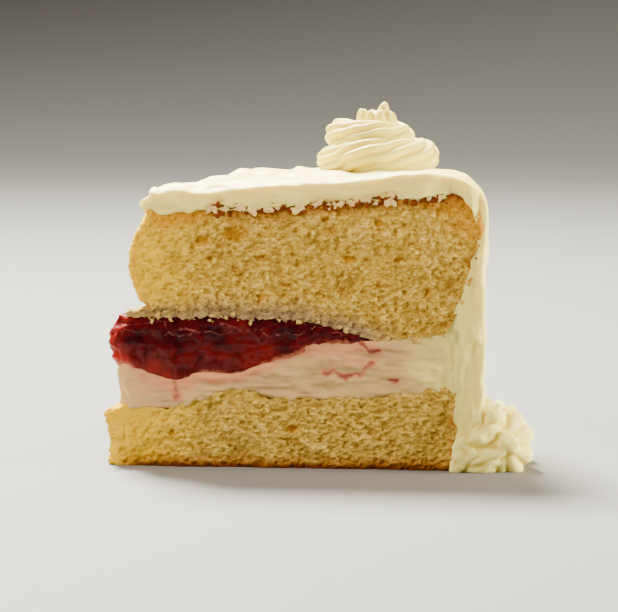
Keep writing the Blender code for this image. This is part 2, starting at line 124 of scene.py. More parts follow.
def boxGrid(counts):                    # the skin of a block: shares of its sides, and quads facing out
    skin = np.zeros([count + 1 for count in counts], bool)
    skin[[0, -1]] = True
    skin[:, [0, -1]] = True
    skin[:, :, [0, -1]] = True
    ids = np.full(skin.shape, -1)
    ids[skin] = np.arange(skin.sum())
    quads = []
    for axis in range(3):
        for end in (0, -1):
            side = np.take(ids, end, axis=axis)
            quad = np.stack([side[:-1, :-1], side[1:, :-1], side[1:, 1:], side[:-1, 1:]], -1).reshape(-1, 4)
            facesOut = (end == -1) != (axis == 1)
            quads.append(quad if facesOut else quad[:, ::-1])
    return np.argwhere(skin) / np.array(counts), np.concatenate(quads)


def addObject(name, data):
    made = bpy.data.objects.new(name, data)
    bpy.context.scene.collection.objects.link(made)
    return made


def paintMesh(mesh, layer, values):
    mesh.attributes.new(layer, "FLOAT", "POINT").data.foreach_set("value", np.asarray(values, np.float32))


def makeMesh(name, spots, quads, material, paint):      # spots in millimetres; paint holds values per point
    mesh = bpy.data.meshes.new(name)
    mesh.from_pydata((spots * mm).tolist(), [], quads.tolist())
    for layer, values in paint.items():
        paintMesh(mesh, layer, values)
    mesh.shade_smooth()
    mesh.materials.append(material)
    return addObject(name, mesh)


def layerGrid(look):                    # a layer's points as shares outward, across and up
    shares, quads = boxGrid(look["grid"])
    outward, across, up = shares.T
    return outward, across, up, cake["portion"] * across, quads


def onFace(r, z, shift=0):              # points of a cut face for noise to read, shifted to give other noise
    return np.stack([r, r * 0 + shift, z], -1)


def inCake(r, angle, z):                # a point from its distance from the cake's axis, angle and height
    return np.stack([r * np.cos(angle) + cake["axisX"], r * np.sin(angle) + cake["axisY"], z], -1)


def layerHeight(profile, r, angle, seed):
    wave = cake["wave"] * softNoise(inCake(r, angle, r * 0), cake["waveSize"], seed)
    return along(profile, r + cake["bend"] * np.sin(2.2 * angle)) + wave


def pushFaces(spots, near, far):        # moves points out of the near and the far cut face, in millimetres
    spots[:, 1] -= near
    spots += far[:, None] * np.array([-math.sin(cake["portion"]), math.cos(cake["portion"]), 0])


def fromCuts(r, angle):                 # how far points are from the near and from the far cut
    return r * angle, r * (cake["portion"] - angle)


# The layers' outlines along the near cut face, as (r, z)

lowerSponge = {
    "grid": (300, 14, 72),
    "top": ((0, 16.5), (12, 16.8), (17, 16.2), (25, 18.0), (32, 20.4), (40, 20.5), (47, 18.3),
            (58, 18.6), (72, 19.4), (84, 20.4), (92, 21.8), (97, 20.5)),
    "point": ((0, 5.2), (0.05, 4.3), (0.3, 5.4), (0.6, 3.9), (0.84, 3.0), (0.93, 4.5), (1, 7.5)),
    "rimTuck": 1.0, "bow": 0.28, "square": 0.0,
}

upperSponge = {
    "grid": (300, 14, 122),
    "foot": ((5, 40.0), (40, 40.0), (55, 39.2), (63, 37.6), (69, 35.8), (75, 34.3), (82, 34.0),
             (90, 35.2), (97, 37.2), (103, 38.5)),
    "top": ((10, 67.8), (16, 68.5), (30, 69.8), (55, 70.8), (70, 72.0), (82, 72.8), (103, 73.0)),
    "point": ((0, 8.6), (0.045, 8.2), (0.09, 14.2), (0.15, 12.6), (0.25, 10.6), (0.42, 9.2),
              (0.62, 9.2), (0.8, 11.0), (0.92, 12.8), (1, 14.4)),
    "rimTuckLow": 10.0, "rimTuckHigh": 4.2, "bow": 0.1, "square": 0.25,
}

crumbLook = {
    "raster": (110, 80),                # the width and height that the pores are drawn over
    "pores": ((85, 0.28, 0.65, 0.62, 1.8), (7, 0.6, 1.15, 0.5, 1.9)),
    "warp": 0.35, "warpSize": 1.3, "slow": 0.4, "slowSize": 9,
    # each as (r, z, half width, half height)
    "large": ((36.0, 62.2, 3.3, 2.1), (27.5, 60.5, 2.1, 1.2), (67.3, 56.0, 1.9, 1.1),
              (74.6, 65.5, 1.1, 0.9), (43.6, 45.6, 1.1, 0.8), (88.0, 47.5, 1.3, 0.8),
              (52.0, 10.5, 1.4, 0.8), (20.0, 9.0, 1.2, 0.8), (44.0, 56.5, 1.6, 0.6),
              (30.0, 55.5, 1.4, 0.6), (61.0, 66.5, 1.4, 0.6), (80.0, 56.0, 1.3, 0.7)),
    "brown": ((99.8, 54.0, 2.2, 4.8), (94.6, 12.8, 1.5, 1.6), (93.4, 8.4, 1.6, 0.9), (95.0, 5.0, 0.9, 1.6)),
    "grain": 0.24, "grainSize": (1.1, 1.0, 0.75),
    "ragged": 0.5, "raggedSize": 1.7,   # how uneven the torn edges are
    "crumbly": 0.6, "crumblySize": 1.5,     # and the upper sponge's foot, over the jam
}


def lowerTop(r, angle):
    return layerHeight(lowerSponge["top"], r, angle, 1)


def upperFoot(r, angle):
    return layerHeight(upperSponge["foot"], r, angle, 2)


def upperTop(r, angle):
    return layerHeight(upperSponge["top"], r, angle, 3)


def upperRim(share):                    # the baked sponge's round side
    tuckLow, tuckHigh = upperSponge["rimTuckLow"], upperSponge["rimTuckHigh"]
    return cake["upperR"] - tuckLow * (1 - share)**3 - tuckHigh * share**13


def pointR(profile, share, across, bow=0.28, square=0.0):   # the blunt point, bowed and turned to one side
    return along(profile, share) * (1 - bow * np.sin(math.pi * across) + square * across)


def largePores(r, z, seed):             # the few holes that are wider than the rest
    at = onFace(r, z)
    r = r + 0.5 * softNoise(at, 1.8, seed)
    z = z + 0.4 * softNoise(at, 1.5, seed + 1)
    depth = np.zeros(len(r))
    for poreR, poreZ, half, tall in crumbLook["large"]:
        depth = np.maximum(depth, smooth(1.35 - np.hypot((r - poreR) / half, (z - poreZ) / tall)))
    return depth


def brownSpots(r, z):                   # where crust shows in the cut away from its edges
    at = onFace(r, z)
    shade = np.zeros(len(r))
    for spotR, spotZ, half, tall in crumbLook["brown"]:
        away = np.hypot((r - spotR) / half, (z - spotZ) / tall) + 0.35 * softNoise(at, 1.4, 57)
        shade = np.maximum(shade, 1 - smooth((away - 0.5) / 0.6))
    return shade


def spongeLayer(name, look, foot, top, rim, skew, seed, material):      # a sponge with its open crumb
    outward, across, up, angle, quads = layerGrid(look)
    up = up**skew
    start = pointR(look["point"], up, across, look["bow"], look["square"])
    length = rim(up) - start
    r = start + length * outward
    torn = softNoise(inCake(r * 0 + 40, angle, up * 40), crumbLook["raggedSize"], seed + 40)
    r = r - crumbLook["ragged"] * (0.4 + torn) * np.clip(1 - outward * length / 3, 0, 1)
    flat = inCake(r, angle, r * 0)
    low = foot(r, angle)
    high = top(r, angle) + crumbLook["ragged"] * softNoise(flat, crumbLook["raggedSize"], seed + 41)
    if foot is upperFoot:
        low = low + crumbLook["crumbly"] * softNoise(flat, crumbLook["crumblySize"], seed + 42)
    spots = inCake(r, angle, low + (high - low) * up)
    z = spots[:, 2].copy()
    # A knife pressed the crumb flat by the point
    facet = smooth((16 - r) / 4) * smooth((z - 10) / 2.5) * smooth((22 - z) / 2)
    reliefs = []
    pit = 0.3 + 0.3 * softNoise(spots, 1.2, seed + 54)
    soft = pit * 0
    for side, away in enumerate(fromCuts(r, angle)):
        pores = bubbleMap(*crumbLook["raster"], seed * 10 + side, crumbLook["pores"])
        at = onFace(r, z, seed + side * 30)
        warpR = r + crumbLook["warp"] * softNoise(at, crumbLook["warpSize"], seed + 50)
        warpZ = z + crumbLook["warp"] * softNoise(at, crumbLook["warpSize"], seed + 51)
        depth = readMap(pores, warpR, warpZ) * (1 - 0.8 * facet)
        wide = largePores(r if side == 0 else 100 - r, z, seed + 56)
        depth = np.maximum(depth, wide)
        grain = crumbLook["grain"] * softNoise(at, crumbLook["grainSize"], seed + 52) * (1 - 0.8 * facet)
        slow = crumbLook["slow"] * softNoise(at, crumbLook["slowSize"], seed + 53)
        on = away < 0.01
        pit[on] = (depth - grain * 0.8)[on]
        soft[on] = wide[on]
        reliefs.append((0.15 - depth + grain + slow) * (1 - smooth(away / 2)))
    pushFaces(spots, *reliefs)
    paint = {"pit": pit, "fromAxis": r / 100, "fromTop": high - z, "fromFoot": z - low,
             "fromRim": rim(up) - r, "facet": facet, "wide": soft, "brown": brownSpots(r, z)}
    return makeMesh(name, spots, quads, material, paint)


# Jam

jam = {
    "grid": (250, 16, 50), "end": 75.0,
    "foot": ((4, 27.5), (9, 26.2), (15, 23.8), (21, 22.4), (27, 24.2), (37, 24.2), (45, 27.2), (53, 31.0),
             (60, 32.2), (68, 32.4), (76, 32.8)),
    "point": ((0, 8.4), (0.25, 5.6), (0.45, 4.5), (0.65, 5.4), (0.9, 7.2), (1, 9.0)),
    "raster": (110, 50), "lumps": ((3.4, 2.2, 4.0, 0.42, 1.4), (7, 1.0, 2.0, 0.32, 1.6)),
    "bulge": 0.8, "tuckedIn": 0.9, "fold": 0.4, "foldSize": (7, 7, 3.4),
}


def jamFoot(r, angle):
    return np.minimum(layerHeight(jam["foot"], r, angle, 4), upperFoot(r, angle) - 1.2)


def jamLayer(material):                 # wet, lumpy fruit that bulges out of the cuts
    outward, across, up, angle, quads = layerGrid(jam)
    start = pointR(jam["point"], up, across)
    length = jam["end"] - start
    r = start + length * outward
    at = inCake(r, angle, up * 14)
    r = r - 0.6 * softNoise(at, 2.8, 61) * np.clip(1 - outward * length / 6, 0, 1)
    flat = inCake(r, angle, r * 0)
    low = jamFoot(r, angle)
    uneven = 0.6 * softNoise(flat, 4.5, 62) + 0.3 * softNoise(flat, 1.6, 65)
    low = low + uneven * smooth((jam["end"] - r) / 8)
    high = upperFoot(r, angle) + 0.7
    spots = inCake(r, angle, low + (high - low) * up)
    z = spots[:, 2].copy()
    swell = np.sin(math.pi * up)**0.6
    fade = smooth((jam["end"] - r) / 6)
    reliefs = []
    for side, away in enumerate(fromCuts(r, angle)):
        lumps = bubbleMap(*jam["raster"], 70 + side, jam["lumps"], 1.3)
        at = onFace(r, z, side * 9)
        bump = readMap(lumps, r + softNoise(at, 3, 63), z + softNoise(at, 3, 66))
        fold = np.sqrt(softNoise(at, jam["foldSize"], 64)**2 + 0.02)
        relief = swell * fade * (jam["bulge"] + bump - jam["fold"] * fold) - jam["tuckedIn"] * (1 - swell)
        reliefs.append(relief * (1 - smooth(away / 3)))
    pushFaces(spots, *reliefs)
    paint = {"up": up, "fromPoint": r - start, "aboveFoot": z - low}
    return makeMesh("jam_filling_looks", spots, quads, material, paint)


# Cream between the sponges, and the icing that it runs into at the rim

cream = {
    "grid": (320, 12, 56), "joinR": 96.0, "point": ((0, 7.8), (0.5, 8.4), (1, 8.6)),
    "overlap": 0.6,                     # how far it reaches into its neighbours, so that no gap shows
    # the knife's marks along the filling and up the wall: height, width, tallness and the noise's seed
    "alongFilling": ((0.55, 12.0, 4.2, 82), (0.3, 5.0, 2.0, 81), (0.12, 11.0, 1.3, 83)),
    "upWall": ((0.55, 4.2, 12.0, 82), (0.3, 2.0, 5.0, 81), (0.12, 1.3, 22.0, 83)),
}

# Where jam is dragged through the cream on the near cut face: ends as (r, z), half width, strength
jamStains = (
    ((62.0, 33.0), (69.0, 33.5), 3.8, 0.52), ((64.0, 30.0), (70.0, 29.0), 3.6, 0.42),
    ((71.0, 34.2), (74.5, 31.2), 1.7, 1.15), ((61.0, 26.4), (65.5, 24.6), 1.9, 0.95),
    ((65.5, 24.6), (69.0, 25.2), 2.0, 1.1), ((69.0, 25.2), (73.0, 28.2), 2.2, 0.9),
    ((73.0, 28.2), (75.0, 30.0), 1.4, 0.6), ((78.0, 24.0), (80.5, 24.2), 0.9, 1.1),
    ((80.0, 23.9), (82.0, 23.2), 1.0, 0.4), ((20.0, 24.5), (21.4, 19.6), 3.0, 0.95),
    ((12.0, 22.5), (26.0, 21.5), 2.8, 0.38), ((36.0, 24.5), (46.0, 27.8), 2.4, 0.5),
    ((24.0, 24.0), (34.0, 23.6), 2.0, 0.4), ((10.0, 21.0), (16.0, 19.5), 2.8, 0.3),
    ((76.0, 28.0), (92.0, 27.0), 5.0, 0.10), ((54.0, 31.0), (62.0, 31.8), 2.2, 0.38),
)


def knifeMarks(at, marks):              # relief that is drawn out one way
    return sum(height * softNoise(at, (wide, 9, tall), seed) for height, wide, tall, seed in marks)


def creamFace(r, z, side):              # how far the knife-dragged cream stands out of a cut face
    at = onFace(r, z, 20 * side)
    wall = smooth((r - 87) / 10)
    filling = knifeMarks(at, cream["alongFilling"])
    return 0.25 + filling * (1 - wall) + knifeMarks(at, cream["upWall"]) * wall


def stainOf(r, z):                      # how much jam is mixed into the cream of the near face, 0 to 1
    at = onFace(r, z)
    r = r + 0.9 * softNoise(at, 3.0, 85)
    z = z + 0.7 * softNoise(at, 2.4, 86)
    stain = np.zeros(len(r))
    for (r0, z0), (r1, z1), half, strength in jamStains:
        share = np.clip(((r - r0) * (r1 - r0) + (z - z0) * (z1 - z0)) / ((r1 - r0)**2 + (z1 - z0)**2), 0, 1)
        away = np.hypot(r - r0 - share * (r1 - r0), z - z0 - share * (z1 - z0))
        stain = np.maximum(stain, strength * (1 - smooth(away / half)))
    return stain


def fillingShadeShare(r, z):                     # how much painted shade darkens the filling's cream to a warm tan, less towards the rim
    return 1 - smooth((r - 74 + 5 * softNoise(onFace(r, z), 12, 89)) / 26)


def creamLayer(material):
    outward, across, up, angle, quads = layerGrid(cream)
    start = pointR(cream["point"], up, across)
    r = start + (cream["joinR"] + 2.2 - start) * outward
    r = r - 0.7 * softNoise(inCake(r, angle, up * 9), 4, 87) * np.clip(1 - outward * 20, 0, 1)
    underJam = smooth((jam["end"] + 2.5 - r) / 4)
    flat = inCake(r, angle, r * 0)
    low = lowerTop(r, angle) - cream["overlap"] - 0.6 * softNoise(flat, 2.6, 88)
    jamLine = jamFoot(r, angle)
    high = upperFoot(r, angle) + cream["overlap"]
    high = high + (jamLine + 1.8 - high) * underJam
    spots = inCake(r, angle, low + (high - low) * up)
    z = spots[:, 2].copy()
    edge = np.minimum(up, 1 - up) * (high - low)
    rounded = 0.9 * np.clip(1 - edge / 1.2, 0, 1)**2 * (1 - smooth((r - 92) / 3))
    beyond = 0.03 * np.clip(r - cream["joinR"], 0, 9)
    away = fromCuts(r, angle)
    pushFaces(spots, *[(creamFace(r, z, side) - rounded - beyond) * (1 - smooth(away[side] / 3))
                       for side in sides])
    stain = stainOf(r, z) * (away[0] < 0.01)
    nearJam = np.clip(1 - (jamLine - z) / 3.2, 0, 1) * underJam
    # mixed holds the share of painted shade on the filling
    paint = {"stain": stain, "nearJam": nearJam, "mixed": fillingShadeShare(r, z)}
    return makeMesh("cream_filling_looks", spots, quads, material, paint)


icing = {
    "grid": (340, 80, 18),
    "top": ((10, 72.6), (15, 73.4), (30, 74.4), (50, 75.2), (70, 76.4), (82, 77.5), (105, 77.5)),
    "pointR": 14.4, "pointBulge": 2.2, "pointRound": 1.0, "pointSquare": 3.2,
    "topShare": 0.56, "edgeShare": 0.68, "wallStart": 0.58, "wallFall": 1.6,
    "ridgePitch": 17.0, "ridgeStart": 18.5, "ridge": 1.1, "ridgeSlant": 0.19,
    "strokes": 0.22, "cutRound": 1.4, "overlap": 1.3, "uneven": 0.38, "lip": 0.8, "groove": 0.7,
    "swirlR": 78.0, "swirlBase": 78.1, "seat": 17.0,
    "nearRise": ((20, 0), (28, -1.1), (42, -0.9), (58, 0), (78, 0.8), (104, 1.0)),
    "farRise": ((20, 0), (30, -0.4), (40, 0.5), (50, 1.3), (60, 0.6), (70, -1.2), (78, -2.0), (104, -2.4)),
    "lean": 1.4,
}


def swirlFoot():                        # where the middle of the piped swirl stands
    return inCake(np.array(icing["swirlR"]), np.array(cake["portion"] / 2), np.array(icing["swirlBase"]))


def icingTop(r, angle):                 # the upper surface with the ridges that the knife leaves
    spots = inCake(r, angle, r * 0)
    away = np.hypot(spots[..., 0] - swirlFoot()[0], spots[..., 1] - swirlFoot()[1])
    squareOn, lengthwise = r * np.sin(angle), r * np.cos(angle)
    wander = 3 * softNoise(spots, 30, 91, 1)
    slanted = squareOn + icing["ridgeSlant"] * lengthwise
    stroke = (slanted + wander - icing["ridgeStart"]) / icing["ridgePitch"] % 1
    ridge = icing["ridge"] * (smooth(stroke / 0.2) - stroke) * smooth((cake["icingR"] - r) / 14)
    drawn = np.stack([lengthwise, slanted, r * 0], -1)
    fine = icing["strokes"] * softNoise(drawn, (34, 2.6, 9), 92)
    lip = icing["lip"] * np.exp(-((squareOn - 2.2) / 1.3)**2)
    lip = lip - icing["groove"] * np.exp(-((squareOn - 5.4) / 1.2)**2)
    lip = lip * smooth((lengthwise - 12) / 10) * smooth((80 - lengthwise) / 20)
    across = angle / cake["portion"]
    rise = along(icing["nearRise"], r) * (1 - smooth(across / 0.5))
    rise = rise + along(icing["farRise"], r) * smooth((across - 0.45) / 0.45)
    plain = layerHeight(icing["top"], r, angle, 5) + ridge + fine + lip + rise
    free = smooth((away - icing["seat"]) / 7)
    return icing["swirlBase"] + (plain - icing["swirlBase"]) * free


def icingOutside(s, angle):             # outer line from the point over the top and down to the foot: r, z
    edgeStart = cake["icingR"] - cake["edgeRound"]
    r = icing["pointR"] + (edgeStart - icing["pointR"]) * np.clip(s / icing["topShare"], 0, 1)
    z = icingTop(r, angle)
    turn = math.pi / 2 * np.clip((s - icing["topShare"]) / (icing["edgeShare"] - icing["topShare"]), 0, 1)
    r = r + cake["edgeRound"] * np.sin(turn)
    z = z - cake["edgeRound"] * (1 - np.cos(turn))
    down = np.clip((s - icing["edgeShare"]) / (1 - icing["edgeShare"]), 0, 1)
    z = z + (0.3 - z) * down
    at = inCake(r, angle, z)
    combed = 0.34 * softNoise(at, (14, 14, 8), 93) + 0.11 * softNoise(at, (10, 10, 1.8), 94)
    return r - 0.2 + (combed - icing["lean"] * down) * smooth(6 * down), z


def icingInside(s, angle):              # inner line, a little way into both sponges: r, z
    topShare, edgeShare, wallStart = icing["topShare"], icing["edgeShare"], icing["wallStart"]
    r = icing["pointR"] + (upperRim(1) - icing["pointR"]) * np.clip(s / topShare, 0, 1)
    z = upperTop(r, angle)
    share = 1 - (1 - wallStart) * (s - topShare) / (edgeShare - topShare)
    share = np.where(s > edgeShare, wallStart - icing["wallFall"] * (s - edgeShare) / (1 - edgeShare), share)
    held = np.clip(share, 0, 1)
    foot = upperFoot(upperRim(held), angle)
    onRim = s > topShare
    r = np.where(onRim, upperRim(held), r)
    z = np.where(onRim, foot + (upperTop(r, angle) - foot) * held, z)
    below = share < 0
    r = np.where(below, cake["lowerR"] - 0.2, r)
    z = np.where(below, np.maximum(foot + foot * share / (icing["wallFall"] - wallStart), 0.3), z)
    reach = icing["overlap"] + 0.45 * softNoise(inCake(r, angle, z), 3.2, 99)
    return r - reach * smooth((s - 0.4) / 0.2), z - reach * smooth((0.62 - s) / 0.1)


def dropBy(distance, radius):           # how far a rounded edge drops, at a distance in from it
    return radius * (1 - np.sqrt(1 - (1 - np.clip(distance / radius, 0, 1))**2))


def icingLayer(material):
    s, even, up, _, quads = layerGrid(icing)
    across = even - 0.13 * np.sin(2 * math.pi * even)       # closer rows by both cuts
    angle = cake["portion"] * across
    inR, inZ = icingInside(s, angle)
    outR, outZ = icingOutside(s, angle)
    outside = inCake(outR, angle, outZ)
    outZ = outZ + icing["uneven"] * softNoise(outside, 7, 96) * smooth((0.7 - s) / 0.1)
    thick = np.hypot(outR - inR, outZ - inZ)
    size = icing["cutRound"] * (0.8 + 0.35 * softNoise(outside, 8, 95))
    fromCut = np.minimum(*fromCuts(outR, angle))
    fromPoint = s / icing["topShare"] * (cake["icingR"] - cake["edgeRound"] - icing["pointR"])
    sink = np.maximum(dropBy(fromCut, size), dropBy(fromPoint, size))
    share = up * (1 - sink / thick)
    r = inR + (outR - inR) * share
    z = inZ + (outZ - inZ) * share
    droop = smooth(1 - s / 0.05)
    leaning = icing["pointBulge"] * np.sin(math.pi * np.minimum(1, up + 0.15))
    r = r + droop * (icing["pointSquare"] * across - leaning - icing["pointRound"] * np.sin(math.pi * even))
    spots = inCake(r, angle, z)
    torn = np.stack([softNoise(spots, 3, 97), r * 0, softNoise(spots, 3, 98)], -1)
    spots += (droop * 0.5)[:, None] * torn
    join = smooth((z - 21) / 3) * smooth((37 - z) / 3) * smooth((s - icing["edgeShare"]) / 0.05)
    feather = 1.2 * np.clip(1 - up * thick / 0.6, 0, 1)**2 * (1 - join)
    crossing = 0.03 * np.clip(cream["joinR"] - r, 0, 9) * join
    away = fromCuts(r, angle)
    pushFaces(spots, *[(creamFace(r, z, side) - crossing - feather) * (1 - smooth(away[side] / 3))
                       for side in sides])
    stain = stainOf(r, z) * (away[0] < 0.01)
    # mixed: painted shade where the filling runs into the icing's cut
    paint = {"stain": stain, "nearJam": stain * 0, "mixed": fillingShadeShare(r, z) * join}
    return makeMesh("icing_looks", spots, quads, material, paint)


# Nodes

class Nodes:                            # a node tree that is built a node at a time
    def node(self, kind, settings=None, out=0, **given):        # i0, i1 and so on are sockets by number
        made = self.tree.nodes.new(kind)
        for key, value in (settings or {}).items():
            if key == "stops":
                setStops(made.color_ramp, value)
            else:
                setattr(made, key, value)
        for key, value in given.items():
            socket = made.inputs[int(key[1:])] if key[0] == "i" and key[1:].isdigit() else made.inputs[key]
            link(self.tree, value, socket)
        return Wire(self.tree, made.outputs[out])


class Tree(Nodes):                      # a Geometry Nodes tree
    def __init__(self, name):
        self.tree = bpy.data.node_groups.new(name, "GeometryNodeTree")
        for way in ("INPUT", "OUTPUT"):
            self.tree.interface.new_socket("Geometry", in_out=way, socket_type="NodeSocketGeometry")
        self.start = self.tree.nodes.new("NodeGroupInput")
        self.values = {}

    def inputs(self, given):            # named inputs that a user can change on the modifier
        wires = []
        for name, value in given.items():
            kind = "NodeSocketInt" if isinstance(value, int) else "NodeSocketFloat"
            made = self.tree.interface.new_socket(name, in_out="INPUT", socket_type=kind)
            self.values[made.identifier] = value
            wires.append(Wire(self.tree, self.start.outputs[made.identifier]))
        return wires

    def curve(self, value, points):     # a smooth curve through points, of a value from 0 to 1
        made = self.node("ShaderNodeFloatCurve", Factor=1.0, Value=value)
        line = made.socket.node.mapping.curves[0]
        line.points[0].location, line.points[1].location = points[0], points[-1]
        for place, height in points[1:-1]:
            line.points.new(place, height)
        made.socket.node.mapping.update()
        return made

    def vector(self, x, y, z):
        return self.node("ShaderNodeCombineXYZ", X=x, Y=y, Z=z)

    def scaled(self, vector, by):
        return self.node("ShaderNodeVectorMath", {"operation": "SCALE"}, i0=vector, Scale=by)

    def moved(self, geometry, **how):
        return self.node("GeometryNodeTransform", i0=geometry, **how)

    def random(self, low, high, seed):
        return self.node("FunctionNodeRandomValue", {"data_type": "FLOAT"}, 1, i2=low, i3=high, Seed=seed)

    def randomWay(self, most, seed):    # a vector, each part up to most either way
        least = tuple(-value for value in most)
        settings = {"data_type": "FLOAT_VECTOR"}
        return self.node("FunctionNodeRandomValue", settings, i0=least, i1=most, Seed=seed)

    def ball(self, radius, level):
        return self.node("GeometryNodeMeshIcoSphere", Radius=radius, Subdivisions=level)

    def ring(self, radius, count):
        circle = "GeometryNodeCurvePrimitiveCircle"
        return self.node(circle, {"mode": "RADIUS"}, Resolution=count, Radius=radius)

    def jitter(self, geometry, scale, detail, amount):      # pushes points about by smooth noise
        solid = {"noise_dimensions": "3D"}
        noise = self.node("ShaderNodeTexNoise", solid, "Color", Scale=scale, Detail=detail)
        both = self.node("ShaderNodeVectorMath", {"operation": "SUBTRACT"}, i0=noise, i1=(0.5, 0.5, 0.5))
        return self.node("GeometryNodeSetPosition", i0=geometry, Offset=self.scaled(both, amount))

    def nozzle(self, resolution, flutes, depth):    # the star outline that a piping nozzle gives
        index = self.node("GeometryNodeInputIndex")
        wave = (index * flutes * (math.pi / resolution)).maths("SINE").maths("ABSOLUTE") ** 0.75
        fluted = self.scaled(self.node("GeometryNodeInputPosition"), 1 - depth + depth * (wave * 1.6))
        return self.node("GeometryNodeSetPosition", i0=self.ring(1.0, resolution), Position=fluted)

    def joined(self, *parts):
        made = self.tree.nodes.new("GeometryNodeJoinGeometry")
        for part in parts:
            self.tree.links.new(part.socket, made.inputs[0])
        return Wire(self.tree, made.outputs[0])

    def finish(self, geometry, material):
        real = self.node("GeometryNodeRealizeInstances", i0=geometry)
        dressed = self.node("GeometryNodeSetMaterial", i0=real, Material=material)
        end = self.tree.nodes.new("NodeGroupOutput")
        self.tree.links.new(dressed.socket, end.inputs[0])


def link(tree, value, socket):
    if isinstance(value, Wire):
        tree.links.new(value.socket, socket)
    else:
        socket.default_value = value


class Wire:                             # a socket on which Python's own operators add Math nodes
    def __init__(self, tree, socket):
        self.tree, self.socket = tree, socket

    def maths(self, operation, *others, first=None):
        made = self.tree.nodes.new("ShaderNodeMath")
        made.operation = operation
        link(self.tree, self if first is None else first, made.inputs[0])
        for k, other in enumerate(others):
            link(self.tree, other, made.inputs[k + 1])
        return Wire(self.tree, made.outputs[0])

    def __add__(self, other):
        return self.maths("ADD", other)

    __radd__ = __add__

    def __sub__(self, other):
        return self.maths("SUBTRACT", other)

    def __rsub__(self, other):
        return self.maths("SUBTRACT", self, first=other)

    def __mul__(self, other):
        return self.maths("MULTIPLY", other)

    __rmul__ = __mul__

    def __truediv__(self, other):
        return self.maths("DIVIDE", other)

    def __rtruediv__(self, other):
        return self.maths("DIVIDE", self, first=other)

    def __pow__(self, other):
        return self.maths("POWER", other)


def evaluated(piece, material):         # the mesh that an object's modifiers make, in one material
    graph = bpy.context.evaluated_depsgraph_get()
    mesh = bpy.data.meshes.new_from_object(piece.evaluated_get(graph), depsgraph=graph)
    mesh.polygons.foreach_set("material_index", [0] * len(mesh.polygons))
    mesh.materials.clear()
    mesh.materials.append(material)
    return mesh


def grown(name, tree, material, guide=None):    # the mesh that a tree makes, on an object of its own
    host = addObject(name + "_host", guide or bpy.data.meshes.new(name + "_host"))
    modifier = host.modifiers.new("Grow", "NODES")
    modifier.node_group = tree.tree
    for identifier, value in tree.values.items():
        modifier[identifier] = value
    mesh = evaluated(host, material)
    host.modifiers.remove(modifier)
    bpy.data.objects.remove(host)
    mesh.name = name
    return addObject(name, mesh)


def fused(piece, voxel, rounds):        # one skin round overlapping shapes, softened, hollows marked
    remesh = piece.modifiers.new("Fuse", "REMESH")
    remesh.mode = "VOXEL"
    remesh.voxel_size = voxel * mm
    remesh.use_smooth_shade = True
    soften = piece.modifiers.new("Soften", "SMOOTH")
    soften.factor = 0.5
    soften.iterations = rounds
    mesh = evaluated(piece, piece.data.materials[0])
    piece.modifiers.clear()
    piece.data = mesh
    markHollows(mesh)
    return piece


def fetched(parts, name, width, kind=np.float32):       # one property of all the vertices or edges
    values = np.empty(len(parts) * width, kind)
    parts.foreach_get(name, values)
    return values.reshape(-1, width)


def markHollows(mesh):                  # how far each point lies below the level of those round it
    spots, normals = fetched(mesh.vertices, "co", 3), fetched(mesh.vertices, "normal", 3)
    ends = fetched(mesh.edges, "vertices", 2, np.int32)
    near = np.concatenate([ends, ends[:, ::-1]])
    count = len(spots)
    each = np.bincount(near[:, 0], minlength=count)[:, None]
    level = spots.copy()
    for step in range(14):
        total = [np.bincount(near[:, 0], level[near[:, 1], axis], count) for axis in range(3)]
        level = np.stack(total, -1) / np.maximum(each, 1)
    paintMesh(mesh, "hollow", np.einsum("ij,ij->i", level - spots, normals) / mm)


# The piped swirl

swirl = {
    "turns": 2.3, "startAngle": 188.0, "size": 13.0,
    # the ring that the rope follows, its height and its own radius, as shares of the size, along the rope
    "ring": ((0, 0.98), (0.045, 0.93), (0.093, 0.88), (0.2, 0.95), (0.31, 0.82), (0.42, 0.715),
             (0.528, 0.56), (0.636, 0.48), (0.745, 0.30), (0.854, 0.2), (1, 0.1)),
    "height": ((0, 0.17), (0.045, 0.2), (0.093, 0.27), (0.2, 0.225), (0.31, 0.42), (0.42, 0.66),
               (0.528, 0.71), (0.636, 0.64), (0.745, 0.72), (0.854, 0.74), (1, 0.76)),
    "rope": ((0, 0.22), (0.025, 0.27), (0.093, 0.34), (0.2, 0.37), (0.31, 0.35), (0.42, 0.325),
             (0.528, 0.33), (0.636, 0.33), (0.745, 0.31), (1, 0.3)),
    "flutes": 9, "flute": 0.17, "twist": -10.5, "wobble": 2.6,
    "coreLow": 12.5, "coreHigh": 4.0, "core": 13.0,     # the cone inside the coils
    "fingers": 10, "tuftRing": 4.2, "finger": 1.5, "tuftLift": 12.1, "peakAngle": -60.0,
    "peak": (1.5, -1.4, 13.2), "peakSize": (1.9, 1.9, 5.2),
    "voxel": 0.25, "soften": 2,
}


